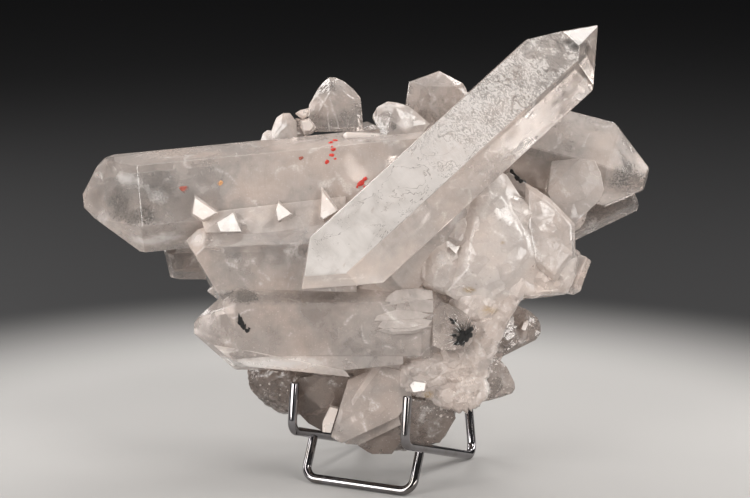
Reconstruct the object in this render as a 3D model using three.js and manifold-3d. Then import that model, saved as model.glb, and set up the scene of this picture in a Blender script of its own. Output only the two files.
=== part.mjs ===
// A quartz cluster resting on a small easel of bent chrome wire. Millimetres, +Z up.
import * as THREE from "three";
import { ConvexGeometry } from "three/addons/geometries/ConvexGeometry.js";
import { mergeVertices } from "three/addons/utils/BufferGeometryUtils.js";
import Module from "manifold-3d";

const wasm = await Module();
wasm.setup();

// ---- driving dimensions ----
const LEAN = 11; // degrees that the stone leans back on its stand
const STONE_AT = [3.3, 2.1, 98]; // the stone's own origin, above the middle of the base
const RHOMB = 51.8; // degrees between a crystal's long axis and the normal of a face at its tip
const WIRE = 4; // diameter of the stand's wire
const WIRE_SIDES = 8; // flats round the wire
const WIRE_STEP = 4; // length of one straight step along it
const GAP = 0.3; // between touching pieces

const TURN = 25; // degrees that the stand is turned from the stone's display face
const FOOT_AT = [-4.2, -35.9]; // middle of the foot's front bar on the table
const ARM_SPACING = 53; // between the middles of the two arms
const FOOT_SPACING = 51; // between the middles of the foot's legs
const FOOT_LEAN = 9; // how far the foot's legs lean back before they meet the arms
const LIP_AT = -10; // the lips, measured backwards from the foot's front bar
const LIP_HEIGHT = 20.5;
const LIP_LEAN = 9; // degrees back
const REAR_AT = 66; // where the arms turn up into the risers
const ARM_SLOPE = 18.5; // degrees down towards the back
const RISER_HEIGHT = 118; // from the table to the top of the arch
const RISER_LEAN = 9; // degrees back
const ARCH_WIDTH = 13; // between the risers at the top
const BEND = 5.5; // radius of the wire's bends, at its middle

const deg = THREE.MathUtils.degToRad;
const V = (p) => new THREE.Vector3(...p);

// ---- solids ----
function toSolid(geometry) {
  const bare = geometry.clone();
  bare.deleteAttribute("normal");
  bare.deleteAttribute("uv");
  const merged = mergeVertices(bare, 1e-4);
  return new wasm.Manifold(
    new wasm.Mesh({
      numProp: 3,
      vertProperties: merged.attributes.position.array,
      triVerts: new Uint32Array(merged.index.array),
    }),
  );
}

function toGeometry(solid) {
  const mesh = solid.getMesh();
  const geometry = new THREE.BufferGeometry();
  geometry.setAttribute("position", new THREE.BufferAttribute(mesh.vertProperties, 3));
  geometry.setIndex(new THREE.BufferAttribute(mesh.triVerts, 1));
  geometry.computeVertexNormals();
  return geometry;
}

// The corners of the convex solid that lies behind every plane (normal n, distance d).
function corners(planes) {
  const found = [];
  const count = planes.length;
  for (let i = 0; i < count; i++)
    for (let j = i + 1; j < count; j++)
      for (let k = j + 1; k < count; k++) {
        const [a, b, c] = [planes[i], planes[j], planes[k]];
        const bc = new THREE.Vector3().crossVectors(b.n, c.n);
        const volume = a.n.dot(bc);
        if (Math.abs(volume) < 1e-6) continue;
        const point = bc.multiplyScalar(a.d);
        point.addScaledVector(new THREE.Vector3().crossVectors(c.n, a.n), b.d);
        point.addScaledVector(new THREE.Vector3().crossVectors(a.n, b.n), c.d);
        point.divideScalar(volume);
        if (planes.some((p) => p.n.dot(point) > p.d + 1e-5)) continue;
        if (found.some((q) => q.distanceTo(point) < 1e-3)) continue;
        found.push(point);
      }
  return found;
}

// One quartz crystal: six prism faces along the line from root to tip, and six faces that close on the tip.
// prism: distance of each prism face from that line. roll: turn about it, in degrees.
// cut: how far each tip face is set back, which makes the uneven points of real crystals.
// rootCut: the same at the root, for a crystal with two points; without it the root is cut off flat.
function crystal({ tip, root, prism, roll = 0, cut = [0, 2, 0, 2, 0, 2], steep, rootCut }) {
  const tipPoint = V(tip);
  const rootPoint = V(root);
  const axis = tipPoint.clone().sub(rootPoint).normalize();
  const middle = tipPoint.clone().add(rootPoint).multiplyScalar(0.5);
  const front = Math.abs(axis.z) < 0.9 ? V([0, 0, 1]) : V([0, 1, 0]);
  const e1 = front.addScaledVector(axis, -front.dot(axis)).normalize();
  const e2 = new THREE.Vector3().crossVectors(axis, e1);
  const planes = [];
  const face = (normal, point) => planes.push({ n: normal, d: normal.dot(point) });
  for (let i = 0; i < 6; i++) {
    const angle = deg(roll + 60 * i);
    const side = e1.clone().multiplyScalar(Math.cos(angle)).addScaledVector(e2, Math.sin(angle));
    const reach = Array.isArray(prism) ? prism[i] : prism;
    face(side, middle.clone().addScaledVector(side, reach));
    const slope = deg(steep ? steep[i] : RHOMB);
    const point = side.clone().multiplyScalar(Math.sin(slope)).addScaledVector(axis, Math.cos(slope));
    face(point, tipPoint.clone().addScaledVector(axis, -cut[i]));
    if (rootCut) {
      const back = side.clone().multiplyScalar(Math.sin(deg(RHOMB)));
      back.addScaledVector(axis, -Math.cos(deg(RHOMB)));
      face(back, rootPoint.clone().addScaledVector(axis, rootCut[i]));
    }
  }
  if (!rootCut) face(axis.clone().negate(), rootPoint);
  return toSolid(new ConvexGeometry(corners(planes)));
}

// A lump of massive quartz: a rounded chunk of many small planes.
function lump({ at, half, turn = 0 }) {
  const ball = new THREE.IcosahedronGeometry(1, 1);
  ball.scale(...half);
  ball.rotateZ(deg(turn));
  ball.translate(...at);
  return toSolid(ball);
}

// ---- the stone, in its own frame: x to the right, y up the stone, z out of its display face ----
const EVEN = [0, 0, 0, 0, 0, 0];

// Two long crystals give the group its shape: one across the front, one lying out to the left.
const LONG_CRYSTALS = [
  {
    tip: [94.5, 95.5, 32],
    root: [-29.5, -18, 43],
    prism: [11.7, 16.5, 18.5, 15, 14, 18.4],
    roll: -27,
    cut: [0, -1.5, -3, 2, 4, 0],
    steep: [51.8, 51.8, 50, 52, 52, 60],
    rootCut: [-9, 0, 6, 6, 2, 0],
  },
  {
    tip: [-128, 18, 16],
    root: [28.5, 33.5, 4],
    prism: [15.8, 18.9, 20.2, 16, 19, 20],
    roll: 10,
    cut: [4, -9, -7, -2, 2, 3],
  },
  { tip: [-78, -34, 26], root: [24, -34.5, 14], prism: 15.2, cut: [0, -3.8, -3.8, 0, -2, -1] },
];

// Beside the front crystal, and between it and the left one: a flank, a block and four slim teeth.
const FRONT_CRYSTALS = [
  {
    tip: [48, 31.5, 20],
    root: [-10, -22, 26],
    prism: [14, 13, 15, 13, 13, 12],
    roll: -27,
    rootCut: [0, 2, 0, 2, 0, 2],
  },
  {
    tip: [-80.5, -7.5, 8],
    root: [-13, -5.5, 4],
    prism: [16, 15, 15, 14, 15, 15],
    cut: [-6, 0, -3, 2, 2, 6],
  },
  { tip: [-76.5, 22, 33], root: [-64, -22, 10], prism: 4.6, roll: -12, cut: EVEN },
  { tip: [-60.5, 15.5, 36], root: [-54.5, -22, 12], prism: 5.2, roll: -12, cut: EVEN },
  { tip: [-41, 20, 33], root: [-32.5, -22, 10], prism: 6.5, roll: -12, cut: EVEN },
  { tip: [-22.5, 25, 34], root: [-17, -22, 10], prism: 6.5, roll: -12, cut: EVEN },
  { tip: [-93.5, -6.5, -4], root: [-51, -6, -6], prism: 6.2, cut: EVEN },
  { tip: [-74, -18.5, 2], root: [-50.5, -16, 0], prism: 4, cut: EVEN },
  { tip: [2.5, -25.5, 34], root: [23.5, -18.5, 20], prism: 5.5, cut: EVEN },
  { tip: [1, -32.5, 36], root: [26, -28, 22], prism: 6, cut: EVEN },
];

// Along the top edge.
const TOP_CRYSTALS = [
  {
    tip: [-17, 79.5, -16],
    root: [-15.5, 35, -6],
    prism: [9.5, 10, 10.5, 9.5, 9.5, 9.5],
    roll: 5,
    cut: [0, 2, 2, 0, 2, 2],
  },
  { tip: [-30.5, 64.5, -6], root: [-33, 39.5, -6], prism: 4.4, roll: 20, cut: EVEN },
  { tip: [-40, 63, -10], root: [-33, 33, -6], prism: 6.2, cut: [0, 1, 0, 1, 0, 1] },
  { tip: [-48.5, 55.5, -10], root: [-37, 33, -6], prism: 5.6, roll: 10, cut: [0, 1, 0, 1, 0, 1] },
  { tip: [6.5, 66.5, 12], root: [13, 39.5, -4], prism: [9.5, 9, 8, 8, 8, 9.5], roll: 10, cut: EVEN },
  { tip: [29.5, 82, -14], root: [24.5, 39.5, -8], prism: 12.3, cut: [0, 0, 2, 0, 2, 0] },
];

// To the right of the front crystal, from the big one behind it down to the milky ones.
const RIGHT_CRYSTALS = [
  {
    tip: [122.5, 29, 2],
    root: [42.5, 51.5, -14],
    prism: [17, 19, 19, 18, 18, 18],
    roll: 8,
    cut: [0, -1, 0, 0, 3, 0],
  },
  { tip: [117.5, 29, -12], root: [69, 5, -12], prism: 5.5, cut: EVEN },
  {
    tip: [99.5, 34, 24],
    root: [59.5, 5.5, 0],
    prism: [11, 13, 12, 12, 11, 13],
    roll: 20,
    cut: [0, 2, 0, 2, 0, 1],
  },
  {
    tip: [48, 29, 34],
    root: [41.5, -35.5, 6],
    prism: [15, 17, 15, 14, 14, 17],
    roll: 12,
    cut: [-2, -3, 0, 0, 0, 0],
  },
  { tip: [78, 23, 20], root: [64, -22.5, -2], prism: [14, 15, 14, 12, 12, 15], cut: EVEN },
  { tip: [26, -6, 50], root: [44.5, 4, 0], prism: 9.6 },
  { tip: [32.5, -44.5, 32], root: [35, -20.5, 18], prism: 9, roll: 20 },
  { tip: [93.5, -7.5, -2], root: [75, -13.5, -4], prism: 6.4, cut: EVEN },
  { tip: [93, -1, 0], root: [82, -5.5, -4], prism: 3 },
  { tip: [75.5, -34, -8], root: [47, -46, -12], prism: 7.2, cut: EVEN },
  { tip: [64, -62, -10], root: [42.5, -55, -12], prism: 8, cut: EVEN },
];

// Pointing down, where the stone sits between the arms of its stand.
const LOW_CRYSTALS = [
  { tip: [-22.5, -83.5, 32], root: [19.5, -35, 16], prism: [13, 13, 12, 12, 12, 13], cut: EVEN },
  { tip: [-58, -58.5, 0], root: [-15.5, -57, -4], prism: 11.5, cut: EVEN },
  { tip: [-32.5, -77.5, 12], root: [-11, -44, 4], prism: 12, cut: EVEN },
  { tip: [1.5, -91, 8], root: [6.5, -53, 0], prism: 16 },
  { tip: [29, -86, 5], root: [22, -44.5, -2], prism: 14, cut: EVEN },
];

// Short crystals that stick out of the rough back.
const BACK_CRYSTALS = [
  { tip: [-62, 40, -44], root: [-26, 12, -8], prism: 11, roll: 15 },
  { tip: [-6, 60, -46], root: [2, 16, -10], prism: 12, roll: 40 },
  { tip: [74, 46, -46], root: [50, 8, -8], prism: 12, roll: 5 },
  { tip: [90, -10, -40], root: [50, -6, -8], prism: 10, roll: 25 },
  { tip: [66, -44, -38], root: [36, -22, -8], prism: 9, roll: 10 },
  { tip: [-24, -14, -52], root: [-14, -6, -8], prism: 14, roll: 30 },
  { tip: [-56, -34, -36], root: [-20, -20, -6], prism: 9, roll: 20 },
  { tip: [-36, -70, -28], root: [-12, -42, -4], prism: 8, roll: 12 },
];

// The massive quartz that all of them stand on.
const ROOT_LUMPS = [
  { at: [-22, 12, -12], half: [44, 36, 24], turn: 10 },
  { at: [20, 6, -6], half: [42, 46, 25] },
  { at: [57.5, 2, -8], half: [36, 40, 26], turn: -10 },
  { at: [11, -38, -4], half: [46, 34, 24] },
  { at: [-22, -51.5, -4], half: [30, 22, 20], turn: 10 },
  { at: [6.5, -67, 2], half: [34, 20, 20] },
  { at: [42, -44.5, 0], half: [20, 28, 20], turn: 20 },
  { at: [-37.5, -61, 2], half: [18, 12, 15], turn: -22 },
  { at: [32, -65, 6], half: [16, 12, 15], turn: 20 },
  { at: [84, 22, -8], half: [22, 20, 18], turn: 30 },
  { at: [58.5, -5.5, 10], half: [26, 24, 26] },
  { at: [53.5, -35, 10], half: [13, 16, 13], turn: 10 },
];

const crystals = [
  ...LONG_CRYSTALS,
  ...FRONT_CRYSTALS,
  ...TOP_CRYSTALS,
  ...RIGHT_CRYSTALS,
  ...LOW_CRYSTALS,
  ...BACK_CRYSTALS,
];

// Turns a solid from the stone's own frame into the shared one, leaning back on the stand.
const stoneFrame = new THREE.Matrix4().makeRotationX(deg(90 - LEAN));
stoneFrame.setPosition(...STONE_AT);

function makeStone() {
  const pieces = [...crystals.map(crystal), ...ROOT_LUMPS.map(lump)];
  return wasm.Manifold.union(pieces).transform(stoneFrame.elements);
}

// ---- the stand, in its own frame: x to its right, y to its back, z up, on the table ----
// A line through the corners given, with every corner rounded to one radius. Each round is a cubic
// curve whose handles make it follow the arc.
function roundedPath(points, radius) {
  const path = new THREE.CurvePath();
  let from = V(points[0]);
  for (let i = 1; i < points.length - 1; i++) {
    const corner = V(points[i]);
    const inward = V(points[i - 1]).sub(corner).normalize();
    const outward = V(points[i + 1]).sub(corner).normalize();
    const half = inward.angleTo(outward) / 2;
    const run = radius / Math.tan(half);
    const start = corner.clone().addScaledVector(inward, run);
    const end = corner.clone().addScaledVector(outward, run);
    const handle = (4 / 3) * Math.tan((Math.PI / 2 - half) / 2) * radius;
    path.add(new THREE.LineCurve3(from, start));
    path.add(
      new THREE.CubicBezierCurve3(
        start,
        start.clone().addScaledVector(inward, -handle),
        end.clone().addScaledVector(outward, -handle),
        end,
      ),
    );
    from = end;
  }
  path.add(new THREE.LineCurve3(from, V(points[points.length - 1])));
  return path;
}

// A wire of even thickness along a path. Its section is a polygon whose flats lie on the circle.
function wire(path, diameter, turn = 0) {
  const section = new THREE.Shape();
  const radius = diameter / 2 / Math.cos(Math.PI / WIRE_SIDES);
  for (let i = 0; i < WIRE_SIDES; i++) {
    const angle = deg(turn) + (2 * Math.PI * (i + 0.5)) / WIRE_SIDES;
    const point = [radius * Math.cos(angle), radius * Math.sin(angle)];
    if (i === 0) section.moveTo(...point);
    else section.lineTo(...point);
  }
  section.closePath();
  const steps = Math.round(path.getLength() / WIRE_STEP);
  return new THREE.ExtrudeGeometry(section, { steps, extrudePath: path, bevelEnabled: false });
}

const slope = Math.tan(deg(ARM_SLOPE));
const armX = ARM_SPACING / 2;
const armHeight = (back) => (REAR_AT - back) * slope;
const riserBack = REAR_AT + RISER_HEIGHT * Math.tan(deg(RISER_LEAN));
const lipBottom = armHeight(LIP_AT);
const lipTopAt = LIP_AT + LIP_HEIGHT * Math.tan(deg(LIP_LEAN));

const easelPath = roundedPath(
  [
    [-armX, lipTopAt, lipBottom + LIP_HEIGHT],
    [-armX, LIP_AT, lipBottom],
    [-armX, REAR_AT, 0],
    [-ARCH_WIDTH / 2, riserBack, RISER_HEIGHT],
    [ARCH_WIDTH / 2, riserBack, RISER_HEIGHT],
    [armX, REAR_AT, 0],
    [armX, LIP_AT, lipBottom],
    [armX, lipTopAt, lipBottom + LIP_HEIGHT],
  ],
  BEND,
);

const footX = FOOT_SPACING / 2;
const footTop = armHeight(FOOT_LEAN) - 2 * GAP; // inside the arm, so that the cut shapes its end
const footPath = roundedPath(
  [
    [-footX, FOOT_LEAN, footTop],
    [-footX, 0, WIRE / 2],
    [footX, 0, WIRE / 2],
    [footX, FOOT_LEAN, footTop],
  ],
  BEND,
);
const footPlane = THREE.MathUtils.radToDeg(Math.atan2(FOOT_LEAN, footTop - WIRE / 2));

const standFrame = new THREE.Matrix4().makeRotationZ(deg(-TURN));
standFrame.setPosition(...FOOT_AT, 0);

// The easel is lowered until its rear bends touch the table.
const easelWire = wire(easelPath, WIRE);
easelWire.computeBoundingBox();
const drop = easelWire.boundingBox.min.z;

function easelSolid(diameter) {
  const geometry = wire(easelPath, diameter);
  geometry.translate(0, 0, -drop);
  return toSolid(geometry);
}

const clearance = easelSolid(WIRE + 2 * GAP);
const easel = easelSolid(WIRE);
const foot = toSolid(wire(footPath, WIRE, footPlane)).subtract(clearance);
const footClearance = toSolid(wire(footPath, WIRE + 2 * GAP, footPlane));
const standClearance = clearance.add(footClearance).transform(standFrame.elements);
const stone = makeStone().subtract(standClearance);

// ---- the scene graph ----
const QUARTZ = new THREE.MeshStandardMaterial({ color: 0xcfc4bd, roughness: 0.25, metalness: 0 });
const CHROME = new THREE.MeshStandardMaterial({ color: 0xd8d8dc, roughness: 0.08, metalness: 1 });

function named(name, solid, material) {
  const mesh = new THREE.Mesh(toGeometry(solid), material);
  mesh.name = name;
  return mesh;
}

const stand = new THREE.Group();
stand.add(named("stand_easel", easel, CHROME));
stand.add(named("stand_foot", foot, CHROME));
stand.applyMatrix4(standFrame);

const object = new THREE.Group();
object.add(named("cluster", stone, QUARTZ));
object.add(stand);

export default object;
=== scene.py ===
# %% [markdown]
# # A quartz cluster on its wire easel
# The object is a hand-sized group of rock crystal: two crystals as long as a hand lie across each
# other, about forty shorter ones stand round them, and all of them grow out of one mass of milky
# quartz. It rests on a small easel of bent and chromed wire.
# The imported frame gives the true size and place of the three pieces. This script makes the surfaces
# that the eye sees and lays them exactly where the frame says.

import itertools
import math

import bmesh
import bpy
import numpy as np
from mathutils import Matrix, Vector
from mathutils.bvhtree import BVHTree


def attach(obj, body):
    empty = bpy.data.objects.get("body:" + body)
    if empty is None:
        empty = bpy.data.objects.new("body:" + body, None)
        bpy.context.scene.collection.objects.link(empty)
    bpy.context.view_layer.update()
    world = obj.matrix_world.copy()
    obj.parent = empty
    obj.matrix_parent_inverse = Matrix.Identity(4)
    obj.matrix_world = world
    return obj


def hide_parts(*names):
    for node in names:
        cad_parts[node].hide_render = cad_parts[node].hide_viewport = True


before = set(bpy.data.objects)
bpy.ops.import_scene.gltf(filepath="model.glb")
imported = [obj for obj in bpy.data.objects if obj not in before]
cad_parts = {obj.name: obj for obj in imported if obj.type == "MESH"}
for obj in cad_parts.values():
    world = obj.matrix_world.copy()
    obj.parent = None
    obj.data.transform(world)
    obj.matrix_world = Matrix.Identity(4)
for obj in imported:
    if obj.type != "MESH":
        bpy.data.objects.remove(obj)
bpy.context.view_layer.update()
MM = 0.001
deg = math.radians

# %% [markdown]
# ## Two frames: the stone's own and the shared one
# A collector turns a stone until it looks its best, and the easel then leans it back. So the stone is
# written down as if it stood straight in front of the eye: x to the right, y up the stone, z towards
# the eye, in millimetres. One function leans it back and puts it on the easel. The camera stands on
# the z axis of that same frame, which is why it looks down by exactly the angle of the lean.

# %% From the stone's frame to the shared frame
LEAN = deg(11)
STONE_AT = np.array([3.3, 2.1, 98.0])
EYE = 900.0


def to_row(points):
    """Stone frame in mm to shared frame in metres: y and z turn by the lean, then everything shifts."""
    p = np.asarray(points, float)
    back = p[..., 1] * math.sin(LEAN) - p[..., 2] * math.cos(LEAN)
    up = p[..., 1] * math.cos(LEAN) + p[..., 2] * math.sin(LEAN)
    return (np.stack([p[..., 0], back, up], -1) + STONE_AT) * MM


def to_stone(points):
    """The inverse of to_row: shared frame in metres to stone frame in mm."""
    p = np.asarray(points, float) / MM - STONE_AT
    up = p[..., 1] * math.sin(LEAN) + p[..., 2] * math.cos(LEAN)
    out = -p[..., 1] * math.cos(LEAN) + p[..., 2] * math.sin(LEAN)
    return np.stack([p[..., 0], up, out], -1)


print("the stone's origin lies at", to_row([0, 0, 0]).round(4))

# %% [markdown]
# ## The camera
# A stone is best seen through a long lens, so that near crystals don't swell. The view is 330 mm wide
# at the stone, and the lens follows from that and the distance.

# %% Camera on the stone's z axis
SEEN_WIDTH = 330.0
SENSOR = 36.0
NEAREST_SEEN = 0.05


def add(name, data):
    """A new object for a mesh, a lamp or a camera, put into the scene at the origin."""
    made = bpy.data.objects.new(name, data)
    bpy.context.scene.collection.objects.link(made)
    return made


camera_data = bpy.data.cameras.new("camera")
camera_data.sensor_width = SENSOR
camera_data.lens = SENSOR * EYE / SEEN_WIDTH
camera_data.clip_start = NEAREST_SEEN
camera = add("camera", camera_data)
eye = Vector(to_row([0, 0, EYE]))
camera.location = eye
camera.rotation_euler = (Vector(to_row([0, 0, 0])) - eye).to_track_quat("-Z", "Y").to_euler()
bpy.context.scene.camera = camera
print("lens", round(camera_data.lens, 1), "mm, eye at", [round(x, 3) for x in eye])

# %% [markdown]
# ## What a quartz crystal is
# Quartz grows as a six-sided prism closed by six slanted faces. The angles between its faces are the
# same on every crystal in the world; only the distances of the faces from the middle differ, and that
# is what makes each crystal its own. So a crystal is best written as its axis, the six distances of
# the prism faces and how far each tip face is set back. Modelling it by pulling a hexagonal column
# about would lose those angles.

# %% The planes of one crystal
RHOMB = 51.8  # degrees between the long axis and the normal of a face at the tip
EVEN = [0, 0, 0, 0, 0, 0]
UNEVEN = [0, 2, 0, 2, 0, 2]


def crystal(tip, root, prism, roll=0, cut=UNEVEN, steep=RHOMB, root_cut=None, look=(0.5, 0.5),
            blunt=0, tone_and_shade=0.9, **marks):
    """Planes n.p = d: prism face i looks out at angle roll + 60 i and lies prism[i] from the axis's
    middle; tip face i leans by steep and passes through the tip, set back by cut[i]. The root ends
    square, or in six faces set back by root_cut. A blunt tip is cut off square that far down."""
    tip, root = np.array(tip, float), np.array(root, float)
    length = np.linalg.norm(tip - root)
    axis = (tip - root) / length
    front = np.array([0, 0, 1.0]) if abs(axis[2]) < 0.9 else np.array([0, 1.0, 0])
    e1 = front - (front @ axis) * axis
    e1 /= np.linalg.norm(e1)
    e2 = np.cross(axis, e1)
    angle = np.radians(roll + 60 * np.arange(6))[:, None]
    side = np.cos(angle) * e1 + np.sin(angle) * e2
    slope = np.radians(np.broadcast_to(steep, 6))[:, None]
    top = np.sin(slope) * side + np.cos(slope) * axis
    normals = [side, top]
    reach = [side @ (tip + root) / 2 + prism, top @ tip - np.array(cut) * np.cos(slope[:, 0])]
    if root_cut is None:
        normals.append(-axis[None])
        reach.append([-axis @ root])
    else:
        foot = math.sin(deg(RHOMB)) * side - math.cos(deg(RHOMB)) * axis
        normals.append(foot)
        reach.append(foot @ root - np.array(root_cut) * math.cos(deg(RHOMB)))
    if blunt:
        normals.append(axis[None])
        reach.append([axis @ tip - blunt])
    return dict(normals=np.vstack(normals), reach=np.concatenate(reach), axis=axis, tip=tip,
                length=length, look=look, tone_and_shade=tone_and_shade, **marks)


plain = crystal([0, 0, 30], [0, 0, 0], 8, 0, EVEN)
print("a plain crystal has", len(plain["reach"]), "planes")

# %% The corners between planes
PARALLEL = 1e-5
BEHIND = 1e-5
SAME_CORNER = 1e-2


def corners_between(normals, reach):
    """Every three planes cross in one point; the corners of the solid are those points that lie behind
    all the other planes, each kept once."""
    i, j, k = np.array(list(itertools.combinations(range(len(reach)), 3))).T
    threes = np.stack([normals[i], normals[j], normals[k]], 1)
    crossing = abs(np.linalg.det(threes)) > PARALLEL
    ends = np.stack([reach[i], reach[j], reach[k]], 1)[crossing]
    points = np.linalg.solve(threes[crossing], ends[..., None])[..., 0]
    points = points[(points @ normals.T <= reach + BEHIND).all(1)]
    apart = np.linalg.norm(points[:, None] - points[None], axis=2)
    return points[np.unique((apart < SAME_CORNER).argmax(1))]


print("a plain crystal has", len(corners_between(plain["normals"], plain["reach"])), "corners")

# %% [markdown]
# ## The crystals of this stone
# Each crystal is a tip, a root, its prism distances, a roll about its axis and its own oddities. look
# says how milky it is at its root and at its tip: 0 is clear as glass, 1 is white. tone says how light
# it is: its own colour, and where it is set low, as on the underside, painted shade as well. soften
# says how far its edges are rounded, in mm.

# %% The two long crystals and the one below them
FRONT = crystal([94.4, 95.0, 32.8], [-31.5, -20.5, 43], [11.7, 16.5, 18.5, 15, 14, 15.9], -27,
                [0, -1, 0, 0, -3, 0], [51.8, 51.8, 50, 52, 52, 60], [-14, 0, 6, 6, 2, 0],
                (0.74, 0.26), tone_and_shade=1)
LEFT = crystal([-130, 17.5, 14], [28.5, 33.5, 4], [15.8, 18.9, 20.2, 16, 19, 20], 10,
               [9, -9, -7, -2, 2, 3], look=(0.68, 0.47), tone_and_shade=0.76, soften=0.18)
LOW_LEFT = crystal([-78, -34.5, 26], [24, -34.5, 20], [13.5, 18.8, 15, 14, 16.5, 14.6], -8,
                   [0.9, -5, -3, 0, -2, -1], root_cut=[-12, -20, -20, -20, -20, -20],
                   look=(0.6, 0.58), tone_and_shade=0.6)
long_crystals = [FRONT, LEFT, LOW_LEFT]
print("lengths", [round(one["length"]) for one in long_crystals], "mm")

# %% Beside the front crystal, on the left one's top edge, and on the right
front_crystals = [
    crystal([48, 31.5, 20], [-10, -22, 26], [14, 13, 15, 13, 13, 12], -27, root_cut=UNEVEN, look=(0.6, 0.5)),
    crystal([-80.5, -7.5, 12], [-8, -5.5, 12], [22.6, 24.2, 12, 12, 14, 22], -16, [-24, -22, -10, -5, 0, 4],
            [51.8, 51.8, 51.8, 51.8, 40, 30], look=(0.6, 0.5), tone_and_shade=0.72),
    crystal([-76, 3, 10], [-4, 5, 10], [16.6, 19, 8, 8, 8, 13], 10, [3, 0, 0, 0, 0, 0],
            look=(0.62, 0.58), tone_and_shade=0.88),
    crystal([-74, -18.5, 2], [-50.5, -16, 0], 4, 0, EVEN, tone_and_shade=0.7),
]
top_crystals = [
    # a slim crystal along the left crystal's top edge, white all through: a painted highlight where that edge
    # catches the light
    crystal([-14.5, 49.4, 10], [4.5, 48.8, 9], 1.5, 0, EVEN, look=(1, 1), soften=0.3, tone_and_shade=1),
]
right_crystals = [
    crystal([125.5, 28.5, 3], [42.5, 51.5, -14], [18, 17.5, 16, 18, 19, 20.5], -28, [0, 0, 1, 0, 0, 0],
            look=(0.68, 0.5), blunt=7, soften=0.45, tone_and_shade=0.84),
    crystal([120.5, 27, -10], [69, 2, -12], [6.5, 6.5, 6, 6, 6, 6.5], 0, EVEN, look=(0.5, 0.4), blunt=6,
            tone_and_shade=0.7),
    crystal([82, -23, 0], [89.5, -3, -3], 5.6, 0, EVEN, look=(0.5, 0.35), blunt=4.5, soften=0.3),
    crystal([92.5, -0.5, 0], [82, -5.5, -4], 2.6, soften=0.8),
]
print(len(front_crystals + top_crystals + right_crystals), "crystals beside the long ones")

# %% Pointing down between the arms of the easel, and out of the rough back
low_crystals = [
    crystal([-13, -79, 19], [14, -36, 14], 8.5, 0, UNEVEN, look=(0.6, 0.62), tone_and_shade=0.78),
]
BACK = [([-62, 40, -44], [-26, 12, -8], 11, 15), ([-6, 60, -46], [2, 16, -10], 12, 40),
        ([74, 46, -46], [50, 8, -8], 12, 5), ([90, -10, -40], [50, -6, -8], 10, 25),
        ([66, -44, -38], [36, -22, -8], 9, 10), ([-24, -14, -52], [-14, -6, -8], 14, 30),
        ([-56, -34, -36], [-20, -20, -6], 9, 20), ([-36, -70, -28], [-12, -42, -4], 8, 12)]
back_crystals = [crystal(*row) for row in BACK]
crystals = long_crystals + front_crystals + top_crystals + right_crystals + low_crystals + back_crystals
print(len(crystals), "crystals")

# %% [markdown]
# ## Blocks: crystals seen only by their faces
# Where crystals crowd each other, or break, nothing of the regular shape is left but a few flat faces.
# Such a block is quicker and truer written down by the outlines of its faces, one behind the other;
# the solid is the tight skin round them. Small facets that flash are given by their outline and the
# direction that they look in: half-way between the eye and the lamp, as a mirror would have to stand.

# %% Corners of a block
rng = np.random.default_rng(7)
LAMP = np.array([656.7, 618.1, 865.9])  # the lamp on the front right, in the stone frame


def layers(*rings):
    """Corners of a block from rings of (height, outline in x and y)."""
    return np.vstack([[(x, y, height) for x, y in outline] for height, outline in rings])


def half_way(at):
    """The direction half-way between the eye and the lamp, seen from a point of the stone."""
    to_eye = np.array([0, 0, EYE]) - at
    to_lamp = LAMP - at
    middle = to_eye / np.linalg.norm(to_eye) + to_lamp / np.linalg.norm(to_lamp)
    return middle / np.linalg.norm(middle)


def facet(outline, height, looks=None, depth=12, spread=1.5, bulge=0, extra=9):
    """The outline lies in a plane through its middle, square to the direction looks; behind it the same
    outline again, depth mm back and spread times as wide. With a bulge, extra points stand up to that
    far in front of the plane, which breaks the face into flat pieces that lean a little each way."""
    xy = np.array(outline, float)
    middle = np.append(xy.mean(0), height)
    n = half_way(middle) if looks is None else np.array(looks, float)
    if bulge:
        pair = rng.integers(0, len(xy), (extra, 2))
        share = rng.uniform(0.15, 0.85, (extra, 1))
        inside = xy[pair[:, 0]] * share + xy[pair[:, 1]] * (1 - share)
        inside = middle[:2] + (inside - middle[:2]) * rng.uniform(0.2, 0.95, (extra, 1))
        xy = np.vstack([xy, inside])
    z = height - ((xy - middle[:2]) @ n[:2]) / n[2]
    front = np.column_stack([xy, z])
    back = middle + (front[:len(outline)] - middle) * spread - [0, 0, depth]
    front[len(outline):, 2] += bulge * rng.uniform(0.5, 1, len(front) - len(outline))
    return np.vstack([front, back])


print("straight ahead a mirror would look along", half_way(np.zeros(3)).round(2))

# %% A list of blocks, and the ones on the left
blocks = []


def add_block(points, milk=0.6, tone_and_shade=0.9, soften=0.2, rugged=0.25):
    """milk, tone and soften are as on a crystal; rugged says how broken up the surface is."""
    blocks.append(dict(points=points, look=milk, tone_and_shade=tone_and_shade, soften=soften, rugged=rugged))


def add_faces(rows):
    """Rows: outline, then height, looks, depth, spread, bulge and extra, then milk, tone, soften and
    rugged, and last, where a block has more corners than its face gives, those."""
    for outline, lie, skin, *more in rows:
        add_block(np.vstack([facet(outline, *lie), *more]), *skin)


TEETH = [([(-76, 21.5), (-67, 15.3), (-72.6, 12.2), (-76.8, 14.9)], 37),
         ([(-60.1, 15.3), (-56.4, 7.3), (-65.1, 7.2), (-66.6, 11.1)], 37),
         ([(-41, 19.7), (-35.4, 14.9), (-41, 11.8), (-41.9, 16.6)], 35),
         ([(-22.4, 24.6), (-15.9, 16.2), (-21.8, 12.6), (-23.1, 13.7)], 34)]
for outline, height in TEETH:
    add_block(facet(outline, height, spread=1.45), 0.75, 1)
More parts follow.
